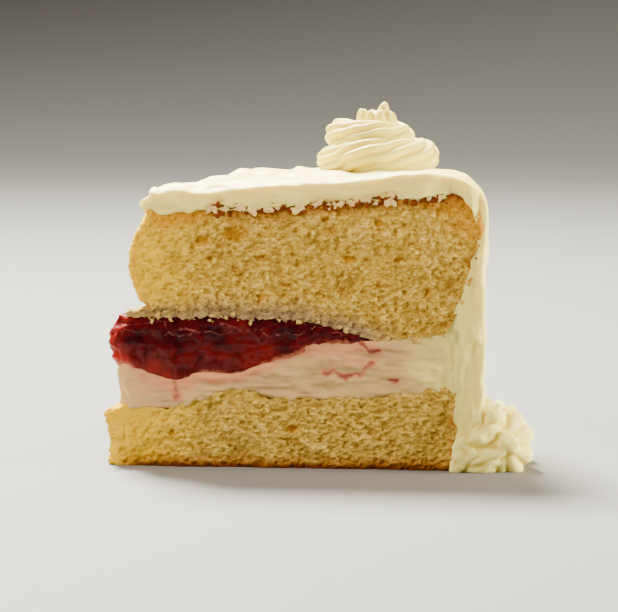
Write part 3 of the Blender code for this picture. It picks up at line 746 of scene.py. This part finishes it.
def buildSwirl(material):
    tree = Tree("Piped swirl")
    turns, size, flutes, flute, twist, wobble, seed = tree.inputs({
        "Turns": swirl["turns"], "Size": swirl["size"] * mm, "Flutes": swirl["flutes"],
        "Flute depth": swirl["flute"], "Twist": swirl["twist"], "Wobble": swirl["wobble"] * mm, "Seed": 4})
    # The rope winds inwards and upwards
    spiral = tree.node("GeometryNodeCurveSpiral", Resolution=80, Rotations=turns, i2=1.0, i3=1.0, Height=0.0,
                       Reverse=True)
    progress = tree.node("GeometryNodeSplineParameter")
    wide = tree.scaled(tree.node("GeometryNodeInputPosition"), tree.curve(progress, swirl["ring"]) * size)
    level = tree.vector(0.0, 0.0, tree.curve(progress, swirl["height"]) * size)
    wound = tree.node("ShaderNodeVectorMath", {"operation": "ADD"}, i0=wide, i1=level)
    path = tree.node("GeometryNodeSetPosition", i0=spiral, Position=wound)
    path = tree.jitter(path, 110.0, 1.0, wobble)
    path = tree.node("GeometryNodeSetCurveTilt", i0=path, Tilt=progress * twist)
    rope = tree.node("GeometryNodeCurveToMesh", i0=path, i1=tree.nozzle(110, flutes, flute),
                     Scale=tree.curve(progress, swirl["rope"]) * size, i3=True)
    rope = tree.moved(rope, Rotation=(0, 0, math.radians(swirl["startAngle"])))
    core = tree.node("GeometryNodeMeshCone", Vertices=40, Depth=swirl["core"] * mm,
                     i3=swirl["coreHigh"] * mm, i4=swirl["coreLow"] * mm)
    core = tree.moved(core, Translation=(0, 0, 0.1 * mm))
    # The tuft: a finger where each flute of the nozzle let go, and the drawn-out peak
    count = swirl["fingers"]
    index = tree.node("GeometryNodeInputIndex")
    side = (index * (2 * math.pi / count) - math.radians(swirl["peakAngle"] - 90)).maths("COSINE")
    vary = tree.random(0.82, 1.15, seed)
    tall = tree.random(2.3, 2.8, seed + 1)
    fingers = tree.node("GeometryNodeInstanceOnPoints", Points=tree.ring(swirl["tuftRing"] * mm, count),
                        Instance=tree.ball(swirl["finger"] * mm, 3),
                        Scale=tree.vector(vary, vary, tall + side * 0.3))
    fingers = tree.moved(fingers, Translation=(0, 0, swirl["tuftLift"] * mm))
    peak = tree.moved(tree.ball(mm, 4), Scale=swirl["peakSize"], Rotation=(0.1, 0.22, 0),
                      Translation=tuple(value * mm for value in swirl["peak"]))
    middle = tree.moved(tree.ball(mm, 3), Scale=(4.2, 4.2, 4.4), Translation=(0, 0, 11.5 * mm))
    joined = tree.joined(rope, core, fingers, peak, middle)
    tree.finish(tree.moved(joined, Translation=tuple(swirlFoot() * mm)), material)
    return fused(grown("piped_swirl_looks", tree, material), swirl["voxel"], swirl["soften"])


# The piped shells round the foot, and the lumps that the knife dragged over the near cut

border = {
    "count": 6, "pitch": 7.7, "firstAngle": 1.6, "ringR": 108.2, "shell": 8.2, "length": 19.0,
    "swell": ((0, 0.2), (0.1, 0.72), (0.28, 1.0), (0.55, 0.86), (1, 0.3)),
    "flutes": 9, "flute": 0.15, "webR": 103.6, "webHeight": 11.8, "web": 5.2, "webRough": 2.6,
    "voxel": 0.32, "soften": 5,
    # centre as (r, out of the near face, z), half sizes and tilt of each lump
    "dragged": (((96.9, 1.7, 1.5), (3.6, 2.2, 2.2), 22), ((98.4, 1.6, 6.0), (4.4, 2.8, 3.5), 50),
                ((104.2, 2.0, 4.7), (7.4, 2.6, 2.7), 27), ((103.4, 1.7, 10.0), (5.4, 2.7, 2.8), 40),
                ((105.6, 1.0, 14.2), (2.5, 2.4, 3.6), -12), ((101.9, 0.9, 14.2), (2.0, 2.0, 2.9), 15),
                ((109.2, 1.2, 8.2), (3.9, 3.0, 3.2), -32), ((103.2, 1.5, 1.9), (5.6, 2.6, 2.4), 12),
                ((105.2, 0.0, 6.4), (6.8, 3.2, 6.6), 30)),
}


def buildBorder(material):
    tree = Tree("Piped shells")
    count, pitch, firstAngle, ringR, shellR, flutes, flute, seed = tree.inputs({
        "Number of shells": border["count"], "Pitch": math.radians(border["pitch"]),
        "First angle": math.radians(border["firstAngle"]), "Ring radius": border["ringR"] * mm,
        "Radius of a shell": border["shell"] * mm, "Flutes": border["flutes"], "Flute depth": border["flute"],
        "Seed": 7})
    # One shell: it swells at its head and runs out into a tail
    length = border["length"] * mm
    line = tree.node("GeometryNodeCurvePrimitiveLine", {"mode": "POINTS"},
                     Start=(0, -0.3 * length, 0), End=(0, 0.7 * length, -2.6 * mm))
    line = tree.node("GeometryNodeResampleCurve", {"mode": "COUNT"}, Curve=line, Count=40)
    swell = tree.curve(tree.node("GeometryNodeSplineParameter"), border["swell"])
    shell = tree.node("GeometryNodeCurveToMesh", i0=line, i1=tree.nozzle(72, flutes, flute),
                      Scale=swell * shellR, i3=True)
    # A shell at each step round the rim
    points = tree.node("GeometryNodeMeshLine", {"mode": "OFFSET"}, Count=count)
    angle = firstAngle + tree.node("GeometryNodeInputIndex") * pitch
    vary = tree.random(0.93, 1.07, seed)
    out = ringR * (0.985 + 0.015 * vary)
    where = tree.vector(angle.maths("COSINE") * out, angle.maths("SINE") * out, shellR * vary * 0.9)
    points = tree.node("GeometryNodeSetPosition", i0=points, Position=where)
    shells = tree.node("GeometryNodeInstanceOnPoints", Points=points, Instance=shell,
                       Rotation=tree.vector(0.0, 0.0, angle),
                       Scale=tree.vector(vary * 0.9, vary, vary * 1.08))
    # The cream that fills the corner between the shells and the wall
    web = tree.node("GeometryNodeCurveArc", {"mode": "RADIUS"}, Resolution=60, Radius=border["webR"] * mm,
                    i5=0.0, i6=cake["portion"])
    web = tree.node("GeometryNodeCurveToMesh", i0=web, i1=tree.ring(1.0, 24), i3=True,
                    Scale=border["web"] * mm)
    web = tree.moved(web, Translation=(0, 0, border["webHeight"] * mm))
    web = tree.jitter(web, 150.0, 1.0, border["webRough"] * mm)
    axis = (cake["axisX"] * mm, cake["axisY"] * mm, 0)
    tree.finish(tree.moved(tree.joined(shells, web), Translation=axis), material)
    piece = grown("piped_border_looks", tree, material)
    addDragged(piece)
    fused(piece, border["voxel"], border["soften"])
    trimBorder(piece.data)
    return piece


def addDragged(piece):                  # joins the dragged lumps on, as stretched and turned balls
    shape = bmesh.new()
    shape.from_mesh(piece.data)
    for k, ((r, out, z), size, tilt) in enumerate(border["dragged"]):
        made = bmesh.ops.create_icosphere(shape, subdivisions=4, radius=1)
        spots = np.array([vertex.co for vertex in made["verts"]])
        spots = spots * (1 + 0.2 * softNoise(spots + k * 5, 0.8, 100 + k))[:, None] * size
        turn = math.radians(tilt)
        x = spots[:, 0] * math.cos(turn) - spots[:, 2] * math.sin(turn)
        up = spots[:, 0] * math.sin(turn) + spots[:, 2] * math.cos(turn)
        for vertex, dx, dy, dz in zip(made["verts"], x, spots[:, 1], up):
            vertex.co = (mm * (cake["axisX"] + r + dx), mm * (cake["axisY"] - out + dy), mm * (z + dz))
    shape.to_mesh(piece.data)
    shape.free()


def trimBorder(mesh):                   # cuts the border off level at its foot, and where the knife went
    shape = bmesh.new()
    shape.from_mesh(mesh)
    farSide = (-math.sin(cake["portion"]), math.cos(cake["portion"]), 0)
    axisAt = (cake["axisX"] * mm, cake["axisY"] * mm, 0)
    for at, outward in (((0, 0, 0), (0, 0, -1)), (axisAt, farSide)):
        everything = shape.verts[:] + shape.edges[:] + shape.faces[:]
        found = bmesh.ops.bisect_plane(shape, geom=everything, dist=1e-7, plane_co=at, plane_no=outward,
                                       clear_outer=True)
        rim = [part for part in found["geom_cut"] if isinstance(part, bmesh.types.BMEdge)]
        bmesh.ops.holes_fill(shape, edges=rim, sides=0)
    shape.to_mesh(mesh)
    shape.free()


# Loose bits along the cuts: crumbs, flakes of crust, and dabs of cream that the knife pressed in

bits = {
    # how many, least and most size, how far they stray, how deep and tall for their width, how rough
    "dabs": {"count": 58, "least": 0.35, "most": 1.1, "stray": 1.2, "deep": 0.6, "tall": 1.7,
             "rough": 1.3, "voxel": 0.2},
    "flakes": {"count": 190, "least": 0.3, "most": 0.9, "stray": 1.4, "deep": 0.45, "tall": 0.8,
               "rough": 1.1, "voxel": 0.16},
    "crumbs": {"count": 80, "least": 0.15, "most": 0.7, "stray": 1.1, "deep": 0.7, "tall": 0.9,
               "rough": 1.2, "voxel": 0.14},
}


def cutLine(height, least, most, out):  # a line along both cuts at a given height, for bits to lie on
    count = 60
    rs = np.linspace(least, most, count)
    lines, edges = [], []
    for side, angle in enumerate((0.0, cake["portion"])):
        sideways = 1 - 2 * side
        line = inCake(rs, rs * 0 + angle, height(rs, rs * 0 + angle))
        line[:, 0] += sideways * out * math.sin(angle)
        line[:, 1] -= sideways * out * math.cos(angle)
        lines.append(line)
        edges += [(side * count + k, side * count + k + 1) for k in range(count - 1)]
    mesh = bpy.data.meshes.new("line")
    mesh.from_pydata((np.concatenate(lines) * mm).tolist(), edges, [])
    return mesh


def scatter(name, kind, line, seed, material):
    look = bits[kind]
    tree = Tree(name)
    count, least, most, stray, rough, number = tree.inputs({
        "Count": look["count"], "Least size": look["least"] * mm, "Most size": look["most"] * mm,
        "Stray": look["stray"] * mm, "Roughness of shape": look["rough"], "Seed": seed})
    path = tree.node("GeometryNodeMeshToCurve", i0=Wire(tree.tree, tree.start.outputs[0]))
    points = tree.node("GeometryNodeCurveToPoints", {"mode": "COUNT"}, Curve=path, Count=count)
    away = tree.scaled(tree.randomWay((1, 0.12, 1), number), stray)
    points = tree.node("GeometryNodeSetPosition", i0=points, Offset=away)
    size = least + (most - least) * tree.random(0.0, 1.0, number + 1) ** 2.2
    placed = tree.node("GeometryNodeInstanceOnPoints", Points=points, Instance=tree.ball(1.0, 3),
                       Rotation=tree.randomWay((0.4, 3, 0.4), number + 2),
                       Scale=tree.vector(size, size * look["deep"], size * look["tall"]))
    placed = tree.node("GeometryNodeRealizeInstances", i0=placed)
    lumpy = tree.jitter(placed, 800.0, 2.0, rough * mm * 1.6)
    tree.finish(tree.node("GeometryNodeSetShadeSmooth", i0=lumpy), material)
    return fused(grown(name, tree, material, line), look["voxel"], 1)


# Finishes

class Finish(Nodes):                    # a material, whose colours are named in its palette
    def __init__(self, name, palette=None, **constants):
        self.material = bpy.data.materials.new(name)
        self.material.use_nodes = True
        self.tree = self.material.node_tree
        self.shader = self.tree.nodes["Principled BSDF"]
        self.palette = palette
        for socket, value in constants.items():
            self.shader.inputs[socket.replace("_", " ")].default_value = value

    def colour(self, value):            # a colour by its name in the palette; a wire stays as it is
        return (*self.palette[value], 1.0) if isinstance(value, str) else value

    def attribute(self, name):
        return self.node("ShaderNodeAttribute", {"attribute_name": name}, "Fac")

    def place(self):
        return self.node("ShaderNodeTexCoord", out="Object")

    def noise(self, size, detail=2.0, stretch=(1, 1, 1)):   # noise by place on the object, size in mm
        mapped = self.node("ShaderNodeMapping", Vector=self.place(), Scale=stretch)
        return self.node("ShaderNodeTexNoise", Vector=mapped, Scale=1000.0 / size, Detail=detail)

    def noiseColour(self, size):
        scale = 1000.0 / size
        return self.node("ShaderNodeTexNoise", out="Color", Vector=self.place(), Scale=scale, Detail=1.0)

    def cells(self, vector, size):      # the distance from the middle of rounded cells
        return self.node("ShaderNodeTexVoronoi", {"feature": "SMOOTH_F1"}, "Distance", Vector=vector,
                         Scale=1000.0 / size, Smoothness=0.35)

    def mix(self, share, first, second):
        return self.node("ShaderNodeMix", {"data_type": "RGBA"}, 2, i0=share, i6=self.colour(first),
                         i7=self.colour(second))

    def ramp(self, value, **places):    # where along the value each of the palette's colours is
        stops = [(place, self.colour(name)) for name, place in places.items()]
        return self.node("ShaderNodeValToRGB", {"stops": stops}, Fac=value)

    def step(self, value, low, high):   # 0 below low, 1 above high, smooth between
        return self.node("ShaderNodeMapRange", {"interpolation_type": "SMOOTHSTEP"},
                         Value=value, i1=low, i2=high, i3=0.0, i4=1.0)

    def feed(self, **links):
        for socket, value in links.items():
            self.tree.links.new(value.socket, self.shader.inputs[socket.replace("_", " ")])

    def bump(self, height, strength, distance):
        return self.node("ShaderNodeBump", Strength=strength, Distance=distance * mm, Height=height)


def setStops(ramp, stops):
    while len(ramp.elements) < len(stops):
        ramp.elements.new(0.5)
    for element, (place, shade) in zip(ramp.elements, stops):
        element.position = place
        element.color = shade


crumbColours = {
    # deep is the darkest crumb tone, used for painted shade in the pits
    "pale": (0.86, 0.62, 0.15), "body": (0.58, 0.36, 0.042), "deep": (0.34, 0.155, 0.008),
    # amber is painted shade for the large pores
    # gold is painted backlit glow by the thin point, and facet partly so
    "gold": (0.92, 0.55, 0.004), "amber": (0.52, 0.24, 0.004), "bake": (0.66, 0.29, 0.004),
    "facet": (0.72, 0.41, 0.004), "damp": (0.23, 0.17, 0.12), "loose": (0.42, 0.31, 0.15),
    "flake": (0.24, 0.055, 0.008), "crust": (0.13, 0.025, 0.005), "crustLight": (0.35, 0.11, 0.010),
}
jamColours = {
    "dark": (0.020, 0.001, 0.003), "body": (0.11, 0.004, 0.005), "bright": (0.34, 0.016, 0.008),
    # film is a painted highlight
    # tip is painted backlit glow at the jam's point
    "tip": (0.20, 0.022, 0.003), "creamy": (0.60, 0.20, 0.11), "film": (0.55, 0.18, 0.15),
}
creamColours = {
    # mixed is painted shade for the filling between the sponges
    "pale": (0.92, 0.80, 0.19), "cut": (0.90, 0.72, 0.21), "mixed": (0.53, 0.325, 0.15),
    # pipedDeep is painted shade for the piped creases
    # swirl is the cream painted darker, as painted shade; shells is the cream painted lighter, as painted
    # light
    "swirl": (0.66, 0.60, 0.10), "shells": (0.97, 0.88, 0.27), "pipedDeep": (0.84, 0.66, 0.07),
    "pressed": (0.64, 0.30, 0.16), "pink": (0.72, 0.28, 0.13), "stain": (0.22, 0.014, 0.014),
}


def spongeFinish(name, crustAt):        # baked crumb with a thin brown crust; painted shade darkens its pores and painted glow lights its point
    made = Finish(name, crumbColours, Subsurface_Weight=0.2, Subsurface_Scale=0.002,
                  Subsurface_Radius=(1.0, 0.7, 0.2), Specular_IOR_Level=0.05)
    flat = made.node("ShaderNodeMapping", Vector=made.place(), Scale=(1.0, 1.0, 1.5))
    warp = made.node("ShaderNodeVectorMath", {"operation": "MULTIPLY_ADD"}, i0=made.noiseColour(1.1),
                     i1=(0.0012, 0.0012, 0.0012), i2=flat)
    clump = made.cells(warp, 1.25)
    small = made.cells(warp, 0.55)
    fine = made.noise(0.33, 3.0, (1.0, 1.0, 1.3))
    patch = made.noise(4.5, 3.0)
    inward = made.attribute("fromAxis")
    facet = made.attribute("facet")
    rough = 1 - facet * 0.8
    # Painted shade: the deeper the pit, the darker the crumb; the cells and fine noise add the crumb's own
    # grain
    tone = made.attribute("pit") * 0.75 + (clump * 0.5 + small * 0.5 + (fine - 0.5) * 0.9) * rough - 0.1
    crumb = made.ramp(tone + (patch - 0.5) * 0.6, pale=0.05, body=0.42, deep=1.0)
    crumb = made.mix(crustAt["paler"], crumb, "pale")
    # Painted shade in the large pores
    crumb = made.mix(made.attribute("wide") * 0.8, crumb, "amber")
    # Painted backlit glow: the crumb by the thin point is painted gold as if lit through from behind; the
    # pressed-flat facet there keeps its smoother grain and is painted golden with that glow too
    crumb = made.mix(made.step(inward + (patch - 0.5) * 0.2, 0.34, 0.08) * 0.85, crumb, "gold")
    crumb = made.mix(facet * 0.85, crumb, "facet")
    if crustAt["damp"]:                 # greyer over the jam, and well baked up by the rim
        damp = 1 - made.step(made.attribute("fromFoot") + (patch - 0.5) * 4, 0.5, 7.0)
        crumb = made.mix(damp * (1 - made.step(inward, 0.70, 0.84)) * 0.7, crumb, "damp")
        corner = made.attribute("fromTop") * 0.8 + made.attribute("fromRim") + (patch - 0.5) * 8
        crumb = made.mix((1 - made.step(corner, 7, 19)) * 0.75, crumb, "bake")
    ragged = (made.noise(2.6, 3.0) - 0.5) * crustAt["ragged"]
    edge = made.attribute(crustAt["attribute"]) + ragged
    start = made.step(inward + ragged * 0.02, crustAt["from"], crustAt["from"] + 0.1)
    # A golden-orange band just under the top, near the point
    goldenTopBand = (1 - made.step(edge, 2.5, 8.0)) * (1 - start) * made.step(inward, 0.12, 0.17)
    crumb = made.mix(goldenTopBand * 0.85, crumb, "bake")
    light = 1 - made.step(edge, crustAt["depth"] * 0.6, crustAt["depth"] * 2.4)
    dark = 1 - made.step(edge, crustAt["depth"] * 0.2, crustAt["depth"])
    crumb = made.mix(light * start * 0.7, crumb, "crustLight")
    crumb = made.mix(dark * start * crustAt["strength"], crumb, "crust")
    crumb = made.mix(made.attribute("brown") * 0.8, crumb, "crustLight")
    relief = (fine * 0.9 - clump * 0.9 - small * 0.7) * rough
    made.feed(Base_Color=crumb, Roughness=0.8 + fine * 0.15, Normal=made.bump(relief, 0.75, 0.38))
    return made.material


def crumbFinish():
    made = Finish("crumb", crumbColours, Subsurface_Weight=0.3, Subsurface_Scale=0.002,
                  Subsurface_Radius=(1.0, 0.5, 0.15), Specular_IOR_Level=0.2, Roughness=0.85)
    fine = made.noise(0.5, 2.0)
    made.feed(Base_Color=made.mix(fine, "body", "loose"), Normal=made.bump(fine, 0.5, 0.3))
    return made.material


def flakeFinish():
    made = Finish("crust flakes", crumbColours, Specular_IOR_Level=0.1, Roughness=0.7)
    made.feed(Base_Color=made.mix(made.noise(1.2, 2.0), "crust", "flake"))
    return made.material


def jamFinish():                        # wet cooked fruit, dark in the bulk; painted backlit glow at its thin point, painted shade along its top and painted glints
    made = Finish("jam", jamColours, Subsurface_Weight=0.3, Subsurface_Scale=0.003,
                  Subsurface_Radius=(1.0, 0.12, 0.06), Coat_Weight=0.16, Coat_Roughness=0.05,
                  Specular_IOR_Level=0.08, Specular_Tint=(1.0, 0.6, 0.55, 1.0))
    blotch = made.noise(7.0, 2.0)
    fine = made.noise(1.4, 3.0)
    up = made.attribute("up")
    # Painted backlit glow: bright orange-red at the thin point, as if lit through from behind
    tip = 1 - made.step(made.attribute("fromPoint") + blotch * 3, 0.5, 5.0)
    # Painted shade: the jam is kept darker along its top, under the sponge, and lighter lower down
    low = 1 - made.step(up, 0.05, 0.65)
    tone = blotch * 0.9 + fine * 0.25 + low * 0.32 + tip * 0.45 - 0.48
    shade = made.ramp(tone, dark=0.0, body=0.32, bright=0.72, tip=1.0)
    thin = 1 - made.step(made.attribute("aboveFoot") + (fine - 0.5) * 3.0, 0.1, 2.0)
    shade = made.mix(thin * 0.75, shade, "creamy")
    # Painted glints: thin pale lines across the jam that stand in for highlights on its wet ridges
    wander = (made.noise(10.0, 4.0) - 0.5) * 0.7
    glintLine = 1 - made.step((up + wander - 0.72).maths("ABSOLUTE"), 0.0, 0.022)
    second = 1 - made.step((up - wander * 1.2 - 0.84).maths("ABSOLUTE"), 0.0, 0.018)
    glintLine = (glintLine + second * 0.7) * made.step(made.noise(2.0, 3.0), 0.44, 0.62)
    shade = made.mix(glintLine * 0.3, shade, "film")
    relief = made.bump(fine + glintLine * 0.6, 0.3, 0.5)
    made.feed(Base_Color=shade, Roughness=0.3 + fine * 0.25, Normal=relief)
    return made.material


def pressedFinish():                    # cream that the knife pressed into the crust
    made = Finish("pressed cream", creamColours, Subsurface_Weight=0.4, Subsurface_Scale=0.002,
                  Subsurface_Radius=(1.0, 0.7, 0.38), Specular_IOR_Level=0.35, Roughness=0.5)
    made.feed(Base_Color=made.mix(made.noise(1.5, 2.0), "pressed", "cut"))
    return made.material


def creamFinish(name, piped=None):      # soft whipped cream; if piped, in the given colour, with painted shade in its creases
    made = Finish(name, creamColours, Subsurface_Weight=0.5, Subsurface_Scale=0.0025,
                  Subsurface_Radius=(1.0, 0.7, 0.38), Specular_IOR_Level=0.35, Coat_Weight=0.1,
                  Coat_Roughness=0.35)
    cloud = made.noise(9.0, 3.0)
    fine = made.noise(0.9, 3.0)
    shade = made.mix(cloud * 0.6, piped or "pale", "cut")
    if piped:
        # Painted shade: deeper yellow in the hollows of the piping
        shadedCrease = made.step(made.attribute("hollow"), -0.06, 0.14)
        shade = made.mix(shadedCrease * 0.85, shade, "pipedDeep")
    else:
        drag = made.noise(2.4, 3.0, (0.35, 1, 1.3))
        jammy = made.attribute("stain") * (0.45 + drag * 1.1)
        # Painted shade: the filling between the sponges darkened to a warm tan
        shade = made.mix(made.attribute("mixed") * (0.5 + cloud * 0.7), shade, "mixed")
        near = made.attribute("nearJam") + (drag - 0.5) * 0.5
        pink = made.step(jammy * 1.2 + made.step(near, 0.25, 1.1) * 0.7, 0.08, 0.8)
        shade = made.mix(pink * 0.8, shade, "pink")
        shade = made.mix(made.step(jammy, 0.45, 1.15) * 0.85, shade, "stain")
    drawn = made.noise(2.2, 2.0, (0.12, 1, 0.6))
    relief = made.bump(fine + drawn * 1.5, 0.25, 0.25)
    made.feed(Base_Color=shade, Roughness=0.38 + fine * 0.22, Normal=relief)
    return made.material


# Putting it together

def dress(piece, slot, *nodes):
    if nodes:
        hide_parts(*nodes)
    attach(piece, "root")
    print("made", piece.name, len(piece.data.polygons), "faces")


lowerCrust = {"attribute": "fromFoot", "depth": 1.8, "ragged": 1.4, "from": 0.03, "strength": 0.95,
              "damp": False, "paler": 0.16}
upperCrust = {"attribute": "fromTop", "depth": 2.1, "ragged": 3.0, "from": 0.24, "strength": 0.9,
              "damp": True, "paler": 0.04}

lower = spongeLayer("lower_sponge_looks", lowerSponge, lambda r, a: r * 0, lowerTop,
                    lambda share: cake["lowerR"] - lowerSponge["rimTuck"] * share**3, 1.0, 3,
                    spongeFinish("lower sponge", lowerCrust))
dress(lower, "sponge_crumb", "lower_sponge")
upper = spongeLayer("upper_sponge_looks", upperSponge, upperFoot, upperTop, upperRim, 1.35, 5,
                    spongeFinish("upper sponge", upperCrust))
dress(upper, "sponge_crumb", "upper_sponge")
dress(jamLayer(jamFinish()), "jam", "jam_filling")
smoothCream = creamFinish("cream")
dress(creamLayer(smoothCream), "cream", "cream_filling")
dress(icingLayer(smoothCream), "cream", "icing")
# The swirl takes a copy of the cream painted darker, as painted shade, and the shells one painted lighter, as
# painted light
dress(buildSwirl(creamFinish("piped swirl", "swirl")), "cream", "piped_swirl")
dress(buildBorder(creamFinish("piped shells", "shells")), "cream", "piped_border")
pressedAlong = cutLine(lambda r, a: upperTop(r, a) - 0.7, 30, 90, 0.4)
dress(scatter("cream_dabs", "dabs", pressedAlong, 11, pressedFinish()), "cream")
crustAlong = cutLine(lambda r, a: upperTop(r, a) - 1.2, 30, 94, 0.2)
dress(scatter("crust_flakes", "flakes", crustAlong, 12, flakeFinish()), "sponge_crumb")
footAlong = cutLine(lambda r, a: upperFoot(r, a) + 0.1, 14, 92, 0.1)
dress(scatter("loose_crumbs", "crumbs", footAlong, 13, crumbFinish()), "sponge_crumb")


# Floor, light and camera

studio = {
    "floorColour": (0.20, 0.195, 0.185), "flat": 1.1, "bowl": 2.6, "bowlHeight": 1.5, "world": 0.13,
    "azimuth": 5.5, "elevation": 6.5, "distance": 0.8, "pxPerMm": 3.6, "target": (-5.9, 0.0, 39.2),
    "sensor": 36, "photoWidth": 618, "lightTarget": (0, 0, 0.04), "worldTint": (1.0, 0.94, 0.86, 1.0),
}


def addFloor():                         # flat under the cake, and rising far off like a bowl
    around, rings = 96, 24
    out = np.linspace(0, 1, rings + 1)[1:]
    beyond = np.clip(out * 2 - 1, 0, 1)
    radius = studio["flat"] * np.minimum(out * 2, 1) + (studio["bowl"] - studio["flat"]) * beyond
    height = studio["bowlHeight"] * beyond**2.2
    turns = np.arange(around) * 2 * math.pi / around
    spots = [(0, 0, 0)]
    for r, z in zip(radius, height):
        spots += [(r * math.cos(a), r * math.sin(a), z) for a in turns]
    faces = [(0, 1 + k, 1 + (k + 1) % around) for k in range(around)]
    for ring in range(rings - 1):
        inner, outer = 1 + ring * around, 1 + (ring + 1) * around
        for k in range(around):
            after = (k + 1) % around
            faces.append((inner + k, outer + k, outer + after, inner + after))
    mesh = bpy.data.meshes.new("floor")
    mesh.from_pydata(spots, [], faces)
    mesh.shade_smooth()
    floor = addObject("floor", mesh)
    mesh.materials.append(Finish("floor", Base_Color=(*studio["floorColour"], 1.0), Roughness=0.7).material)


def aimed(name, data, at, target):      # a lamp or camera at one place that looks at another
    made = addObject(name, data)
    made.location = at
    made.rotation_euler = (Vector(target) - Vector(at)).to_track_quat("-Z", "Y").to_euler()
    return made


def addLight(name, at, size, watts, tint, shines=True):     # shines: whether it shows in what is glossy
    lamp = bpy.data.lights.new(name, "AREA")
    lamp.shape = "DISK"
    lamp.size = size
    lamp.energy = watts
    lamp.color = tint
    aimed(name, lamp, at, studio["lightTarget"]).visible_glossy = shines


addFloor()
addLight("key from the back and above", (-0.28, 0.42, 0.80), 0.35, 88, (1.0, 0.98, 0.86))
addLight("soft front left", (-0.62, -0.50, 0.68), 0.7, 15, (1.0, 0.86, 0.74), False)
addLight("low right", (0.62, -0.05, 0.16), 0.25, 14, (1.0, 0.95, 0.86), False)

world = bpy.data.worlds.new("studio")
world.use_nodes = True
backdrop = world.node_tree.nodes["Background"]
backdrop.inputs[0].default_value = studio["worldTint"]
backdrop.inputs[1].default_value = studio["world"]
bpy.context.scene.world = world

camera = bpy.data.cameras.new("camera")
camera.sensor_width = studio["sensor"]
camera.lens = studio["pxPerMm"] * studio["distance"] * 1000 * studio["sensor"] / studio["photoWidth"]
camera.clip_end = 20
turn, lift = math.radians(studio["azimuth"]), math.radians(studio["elevation"])
target = np.array(studio["target"]) * mm
back = np.array([math.sin(turn) * math.cos(lift), -math.cos(turn) * math.cos(lift), math.sin(lift)])
eye = target + back * studio["distance"]
bpy.context.scene.camera = aimed("camera", camera, tuple(eye), tuple(target))
print("floor, light and camera are set")
